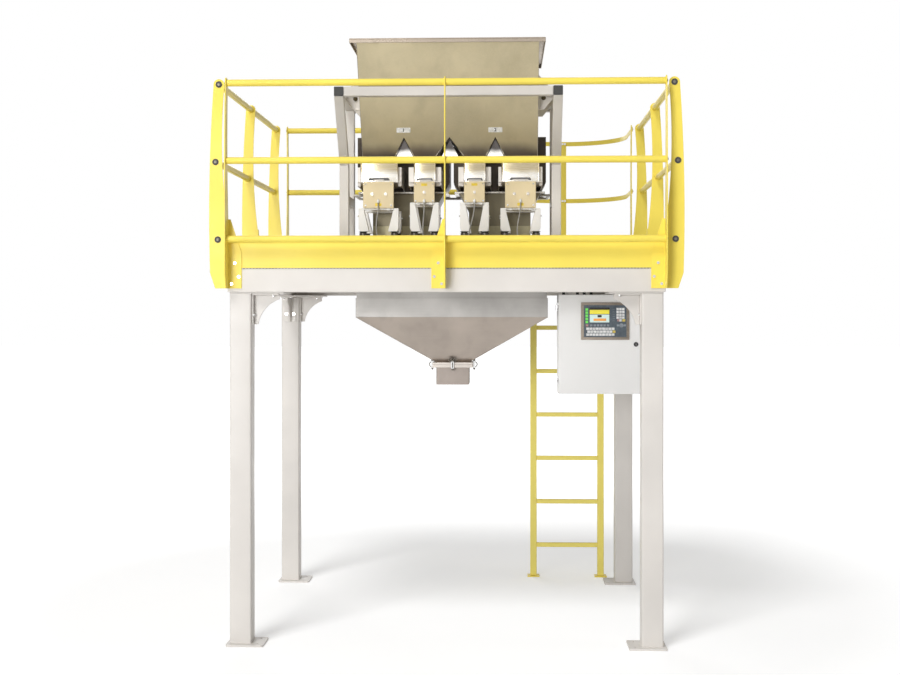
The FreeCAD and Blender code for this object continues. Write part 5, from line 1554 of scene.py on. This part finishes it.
    def glands(self) -> None:
        """Shape the pale glands on the drives and the dark ones on the duct and the cabinet's top."""
        pale, dark = Solid(), Solid()
        profile = ((3.0, 0), (7.8, 10), (8.5, 12), (8.5, 18), (5.5, 22))
        for x, _ in self.feeders:
            pale.lathe(profile, spot(x, LEAD_Y, 2522), DOWN, 16)
            pale.bar(x, 7, (554, self.front), (2503, 2516), 1.0)
        self.piece("drive_glands", pale, LABEL_WHITE, slot="white_paint")
        for _, x, steps in LEADS:
            place = spot(x + steps[-1][0], LEAD_Y + steps[-1][1], self.port_z)
            dark.lathe(((9, 0), (9, 4), (6, 8)), place, UP, 16)
        box = Span("cabinet_body")
        profile = ((10, 0), (10, 6), (8, 8), (9.5, 9), (9.5, 20), (6, 27))
        for n in range(5):
            dark.lathe(profile, spot(box.left + 37 + n * self.gland_pitch, 856, box.top), UP, 18)
        self.piece("gland_bodies", dark, BLACK, "cable_glands")


@dataclass
class WeighBins(SubAssembly):
    """Two weigh bins, their flanges and what they rest on."""

    knee: float = 2654.0
    taper: float = 95.0
    taper_height: float = 179.0
    band_height: float = 174.0
    lining: float = 0.9
    band: float = 1.5
    bolts_per_side: int = 7
    bolt_inset: float = 11.0

    def build(self) -> None:
        """Dress the weigh bins."""
        self.eased(SHADED_BIN_SHEET, 0.4, "weigh_bin_left", "weigh_bin_right")
        self.eased(BRIGHT_SHEET, 0.8, "weigh_bin_flanges")
        self.eased(CREAM, 2.0, "weigh_bin_supports")
        self.flange_bolts()
        self.inner_sheets()

    def inner_sheets(self) -> None:
        """Line the slanted inner side of each bin with a paler sheet, painted light where that side catches
        the light, and band its outlet.
        """
        sheets, bands, box = Solid(), Solid(), Span("weigh_bin_right")
        front, knee, foot_z = box.front, self.knee, self.knee - self.taper_height
        for side in SIDES:
            top_x, foot_x = side * box.left, side * (box.left + self.taper)
            inward = -side * self.lining
            outline = [spot(top_x, front, knee - 4), spot(foot_x, front, foot_z),
                       spot(foot_x + inward, front, foot_z - 0.5), spot(top_x + inward, front, knee - 4.5)]
            sheets.prism(outline, BACKWARD * box.depth * MM)
            middle, half = side * (box.left + box.right) / 2, box.width / 2 - self.taper
            rise = (box.bottom, box.bottom + self.band_height)
            bands.bar(middle, half, (front - self.band, front), rise, 0.6)
        self.piece("bin_inner_lit_sheets", sheets, LIT_BIN_SIDE_SHEET)
        self.piece("bin_outlet_bands", bands, OUTLET_BAND)

    def flange_bolts(self) -> None:
        """Bolt the flanges along their front and rear."""
        box = Span("weigh_bin_flanges")
        inner, outer, last = 40.0, box.right - 30, self.bolts_per_side - 1
        depths = (box.front + self.bolt_inset, box.rear - self.bolt_inset)
        seats = [(spot(side * (inner + (outer - inner) * n / last), y, box.top), UP)
                 for side in SIDES for n in range(self.bolts_per_side) for y in depths]
        self.bolts("bin_flange_bolts", seats, SMALL_BOLT, ZINC)


@dataclass
class Collector(SubAssembly):
    """Collector under the deck and the bag spout."""

    seam_lift: float = 4.0
    clamp_inset: float = 7.0

    def build(self) -> None:
        """Dress the collector."""
        self.eased(SKIRT_SHEET, 0.0, "collector_collar")
        self.eased(SKIRT_SHEET, 0.6, "collector_skirt")
        self.eased(CONE_SHEET, 0.0, "collector_cone")
        self.eased(FLANGE_SHEET, 1.0, "spout_flanges")
        self.eased(SHADED_SPOUT_SHEET, 0.6, "discharge_spout")
        self.eased(ZINC, 1.2, "spout_clamps")
        self.seams()
        self.wing_nuts()

    def seams(self) -> None:
        """Weld the corners of cone and spout."""
        cone, spout = Span("collector_cone"), Span("discharge_spout")
        paths = []
        for x_cone, x in ((cone.left, spout.left), (cone.right, spout.right)):
            for y_cone, y in ((cone.front, spout.front), (cone.rear, spout.rear)):
                paths.append([spot(x, y, cone.bottom), spot(x_cone, y_cone, cone.top)])
                paths.append([spot(x, y, spout.bottom + self.seam_lift), spot(x, y, spout.top)])
        self.beads("cone_seams", paths, WELD, 1.8)

    def wing_nuts(self) -> None:
        """Put a stud with a ring-shaped wing nut on each clamp."""
        box, nuts = Span("spout_clamps"), Solid()
        reach, up = box.width / 2 - self.clamp_inset, UP * box.height / 2 * MM
        for out, across in ((LEFT, FORWARD), (RIGHT, FORWARD), (FORWARD, RIGHT), (BACKWARD, RIGHT)):
            stud = box.middle() + out * reach * MM
            nuts.lathe(((7.5, 0), (7.5, 9), (4, 12), (4, 20)), stud + up, UP, 14)
            nuts.lathe(((7.5, 0), (7.5, 5), (4, 7), (4, 12)), stud - up, DOWN, 14)
            for side in SIDES:
                nuts.wire_ring(stud + up + (across * side * 14.5 + UP * 10) * MM, across, 8.5, 2.4)
            nuts.wire_ring(stud + out * 2 * MM, out, 16.5, 2.8, 24)
        self.piece("clamp_wing_nuts", nuts, PLUG_SCREW, crease=50.0)


@dataclass
class Cabinet(SubAssembly):
    """Control cabinet with its gasket."""

    gasket_margin: float = 4.0
    gasket_width: float = 11.0
    gasket_depth: float = 4.4

    def build(self) -> None:
        """Dress the cabinet's fixed parts."""
        self.eased(CABINET_COAT, 1.2, "cabinet_body")
        self.eased(ZINC, 0.5, "cabinet_hinge_sleeves")
        box = Span("cabinet_body")
        centre = box.middle() + FORWARD * box.depth / 2 * MM
        rings = []
        for inset, corner in ((self.gasket_margin, 6.0), (self.gasket_margin + self.gasket_width, 4.0)):
            width, height = box.width - 2 * inset, box.height - 2 * inset
            near, far = (rounded_outline(centre + FORWARD * depth * MM, RIGHT, UP, width, height, corner, 3)
                         for depth in (0.0, self.gasket_depth))
            rings += [far, near] if rings else [near, far]
        gasket = Solid()
        gasket.skin(rings, True)
        self.piece("cabinet_gasket", gasket, RUBBER, crease=40.0)


@dataclass
class CabinetDoor(SubAssembly):
    """Door with its operator panel: display, lamps, keys and lock."""

    body = DOOR
    bezel: float = 17.0
    recess: float = 2.0
    key_rise: float = 1.2

    def build(self) -> None:
        """Dress everything that swings with the door."""
        self.eased(CABINET_COAT, 4.0, "cabinet_door", segments=3)
        self.eased(ZINC, 0.4, "cabinet_hinge_pins")
        self.bezel_frame()
        self.display()
        self.lamps()
        self.keys()
        self.lock()

    def panel(self, across: float, down: float) -> Vector:
        """Give a place on the panel's recessed face from its upper left corner."""
        box = Span("operator_panel")
        return spot(box.left + across, box.front + self.recess, box.top - down)

    def bezel_frame(self) -> None:
        """Make the bezel round the recessed slate face."""
        box, edge, bezel, face = Span("operator_panel"), self.bezel, Solid(), Solid()
        width, height = box.width, box.height
        for x0, x1, z0, z1 in ((0, width, 0, edge), (0, width, height - edge, height),
                               (0, edge, edge, height - edge), (width - edge, width, edge, height - edge)):
            bezel.block(spot(box.left + x0, box.front, box.bottom + z0),
                        spot(box.left + x1, box.rear, box.bottom + z1), 0.8)
        self.piece("panel_bezel", bezel, BEZEL_SHEET, "operator_panel")
        face.block(spot(box.left + edge, box.front + self.recess, box.bottom + edge),
                   spot(box.right - edge, box.rear, box.top - edge))
        self.piece("panel_face", face, SLATE)

    def display(self) -> None:
        """Build the display from lit fields: left, top, width, height and how far each stands out."""
        for name, finish, left, top, width, height, rise in (
                ("display_glass", SCREEN_DARK, 50, 31, 122, 92, 0.3),
                ("display_top_band", SCREEN_YELLOW, 52, 45, 118, 25, 0.5),
                ("display_lower_field", SCREEN_PALE, 52, 73, 118, 48, 0.5),
                ("display_window", SCREEN_DARK, 99, 76, 25, 14, 0.7),
                ("display_bar", SCREEN_ORANGE, 75, 97, 76, 15, 0.7)):
            field, centre = Solid(), self.panel(left + width / 2, top + height / 2)
            field.slab(centre, UP, width, height, 1.0, FORWARD * rise * MM)
            self.piece(name, field, finish)

    def seats(self, places: Iterable[Pair]) -> list[Seat]:
        """Give seats on the panel from places across and down."""
        return [(self.panel(across, down), FORWARD) for across, down in places]

    def lamps(self) -> None:
        """Set the column of green lamps."""
        seats = self.seats((34.5, 42.8 + n * 18.9) for n in range(5))
        self.blocks("panel_lamps", seats, LAMP_GREEN, 15.5, 14.5, 1.0)

    def keys(self) -> None:
        """Set the number pad, the letter rows, the function keys and the round key."""
        number = [(220 + c * 17, 40.5 + r * 17) for r in range(5) for c in range(3)
                  if (r, c) not in ((4, 0), (4, 2))]
        letters = [(start + c * 19, 159 + row * 17.5)
                   for row, (start, count) in enumerate(((40, 9), (46, 8), (40, 9))) for c in range(count)]
        functions = [(x, 138.5) for x in (*(62 + c * 20 for c in range(6)), 222, 262.5)]
        for name, places, finish, width, height in (
                ("number_keys", number, KEY_WHITE, 14.5, 14.0),
                ("letter_keys", letters, KEY_WHITE, 17.0, 14.5),
                ("function_keys", functions, KEY_GREY, 14.0, 12.0),
                ("side_ticks", [(197, 44 + n * 13.5) for n in range(6)], KEY_GREY, 15.0, 1.5),
                ("enter_keys", [(257, 108.5), (198, 176.5)], KEY_YELLOW, 17.0, 14.5),
                ("stop_keys", [(36, 138.5), (224, 108.5)], KEY_RED, 15.0, 12.5)):
            self.blocks(name, self.seats(places), finish, width, height, self.key_rise)
        profile = ((12.5, 0), (12.5, 1.0), (11.5, 1.4), (7.5, 1.4), (6.8, 0.6), (4.0, 0.6), (3.4, 1.4),
                   (1.0, 1.6))
        key = Solid()
        key.lathe(profile, self.panel(242, 138.5), FORWARD, 28)
        self.piece("round_key", key, KEY_GREY)

    def lock(self) -> None:
        """Turn the lock's body with its key insert."""
        box, body, insert = Span("door_lock"), Solid(), Solid()
        foot = box.middle() + BACKWARD * box.depth / 2 * MM
        profile = ((14, 0), (14, 5), (12.5, 7.2), (9, 7.8), (8.2, 5), (1, 5))
        body.lathe(profile, foot, FORWARD, 32)
        self.piece("lock_body", body, BLACK, "door_lock")
        insert.slab(foot + FORWARD * 4.8 * MM, UP, 3.5, 11.0, 1.0, FORWARD * 2 * MM)
        self.piece("lock_insert", insert, ZINC)


@dataclass
class Studio:
    """Camera, pale floor, white surroundings and soft lamps."""

    lens: float = 55.04
    camera_x: float = 314.0
    camera_y: float = -7595.0
    camera_z: float = 1866.0
    turn: float = 2.175
    shift: float = -0.0309
    floor_colour: Colour = (240, 240, 240)
    floor_glow: float = 0.375
    glow_start: float = 2.5
    glow_end: float = 7.0
    world_light: float = 0.24

    def build(self) -> None:
        """Set the studio up."""
        self.camera()
        self.floor()
        self.world()
        self.lamp("key_lamp", (-7.0, -15.0, 21.0), 1.0, 7.0, 2650.0)
        self.lamp("front_lamp", (-5.5, -15.0, 2.2), 1.4, 5.0, 1040.0)
        self.lamp("side_lamp", (9.0, -2.0, 3.0), 1.6, 3.2, 70.0)
        self.lamp("back_lamp", (-2.5, 6.5, 5.2), 1.8, 3.4, 100.0)
        bpy.context.scene.view_settings.view_transform = "Standard"

    def camera(self) -> None:
        """Stand the camera where the photograph was taken."""
        data = bpy.data.cameras.new("camera")
        data.lens = self.lens
        data.sensor_width = 36.0
        data.shift_y = self.shift
        data.clip_end = 200.0
        camera = linked("camera", data)
        camera.location = spot(self.camera_x, self.camera_y, self.camera_z)
        camera.rotation_euler = (math.radians(90), 0.0, math.radians(self.turn))
        bpy.context.scene.camera = camera

    def floor(self) -> None:
        """Lay a pale floor that reads white to the camera and keeps the shadow."""
        build = bmesh.new()
        bmesh.ops.create_grid(build, x_segments=1, y_segments=1, size=60.0)
        mesh = bpy.data.meshes.new("floor")
        build.to_mesh(mesh)
        build.free()
        floor = linked("floor", mesh)
        made = bpy.data.materials.new("floor_white")
        made.use_nodes = True
        wiring = Wiring(made.node_tree)
        place = wiring.add("ShaderNodeTexCoord", {}, "Object")
        away = wiring.add("ShaderNodeVectorMath", {0: place}, 1, operation="LENGTH")
        glow = wiring.spread(away, self.floor_glow, 1.0, self.glow_start, self.glow_end)
        wiring.feed(made.node_tree.nodes["Principled BSDF"], {
            "Base Color": linear(self.floor_colour), "Roughness": 0.9, "Specular IOR Level": 0.0,
            "Emission Color": (1, 1, 1, 1),
            "Emission Strength": wiring.maths("MULTIPLY", wiring.seen(), glow)})
        floor.data.materials.append(made)

    def world(self) -> None:
        """Surround the scene with white for the camera and for reflections, and dimmer for light."""
        world = bpy.data.worlds.new("studio")
        bpy.context.scene.world = world
        world.use_nodes = True
        wiring = Wiring(world.node_tree)
        strength = wiring.spread(wiring.seen(), self.world_light, 1.0, 0.0, 1.0)
        wiring.feed(world.node_tree.nodes["Background"], {"Color": (1, 1, 1, 1), "Strength": strength})

    def lamp(self, name: str, place: Sequence[float], aim: float, size: float, power: float) -> None:
        """Hang a square soft lamp that points at the machine.

        Args:
            name: name of the lamp.
            place: where it hangs, in metres.
            aim: height that it points at, in metres.
            size: its side in metres.
            power: its power in watts.
        """
        data = bpy.data.lights.new(name, "AREA")
        data.shape = "SQUARE"
        data.size = size
        data.energy = power
        lamp = linked(name, data)
        lamp.location = place
        way = Vector((0.0, -0.4, aim)) - Vector(place)
        lamp.rotation_euler = way.to_track_quat("-Z", "Y").to_euler()


def main() -> None:
    """Build the studio and every sub-assembly."""
    logging.basicConfig(level=logging.INFO, format="%(message)s")
    Studio().build()
    for kind in (Cables, Platform, GuardRail, Ladder, FeedHopper, Feeders, WeighBins, Collector, Cabinet,
                 CabinetDoor):
        LOG.info("building %s", kind.__name__)
        kind().build()


if __name__ == "__main__":
    main()
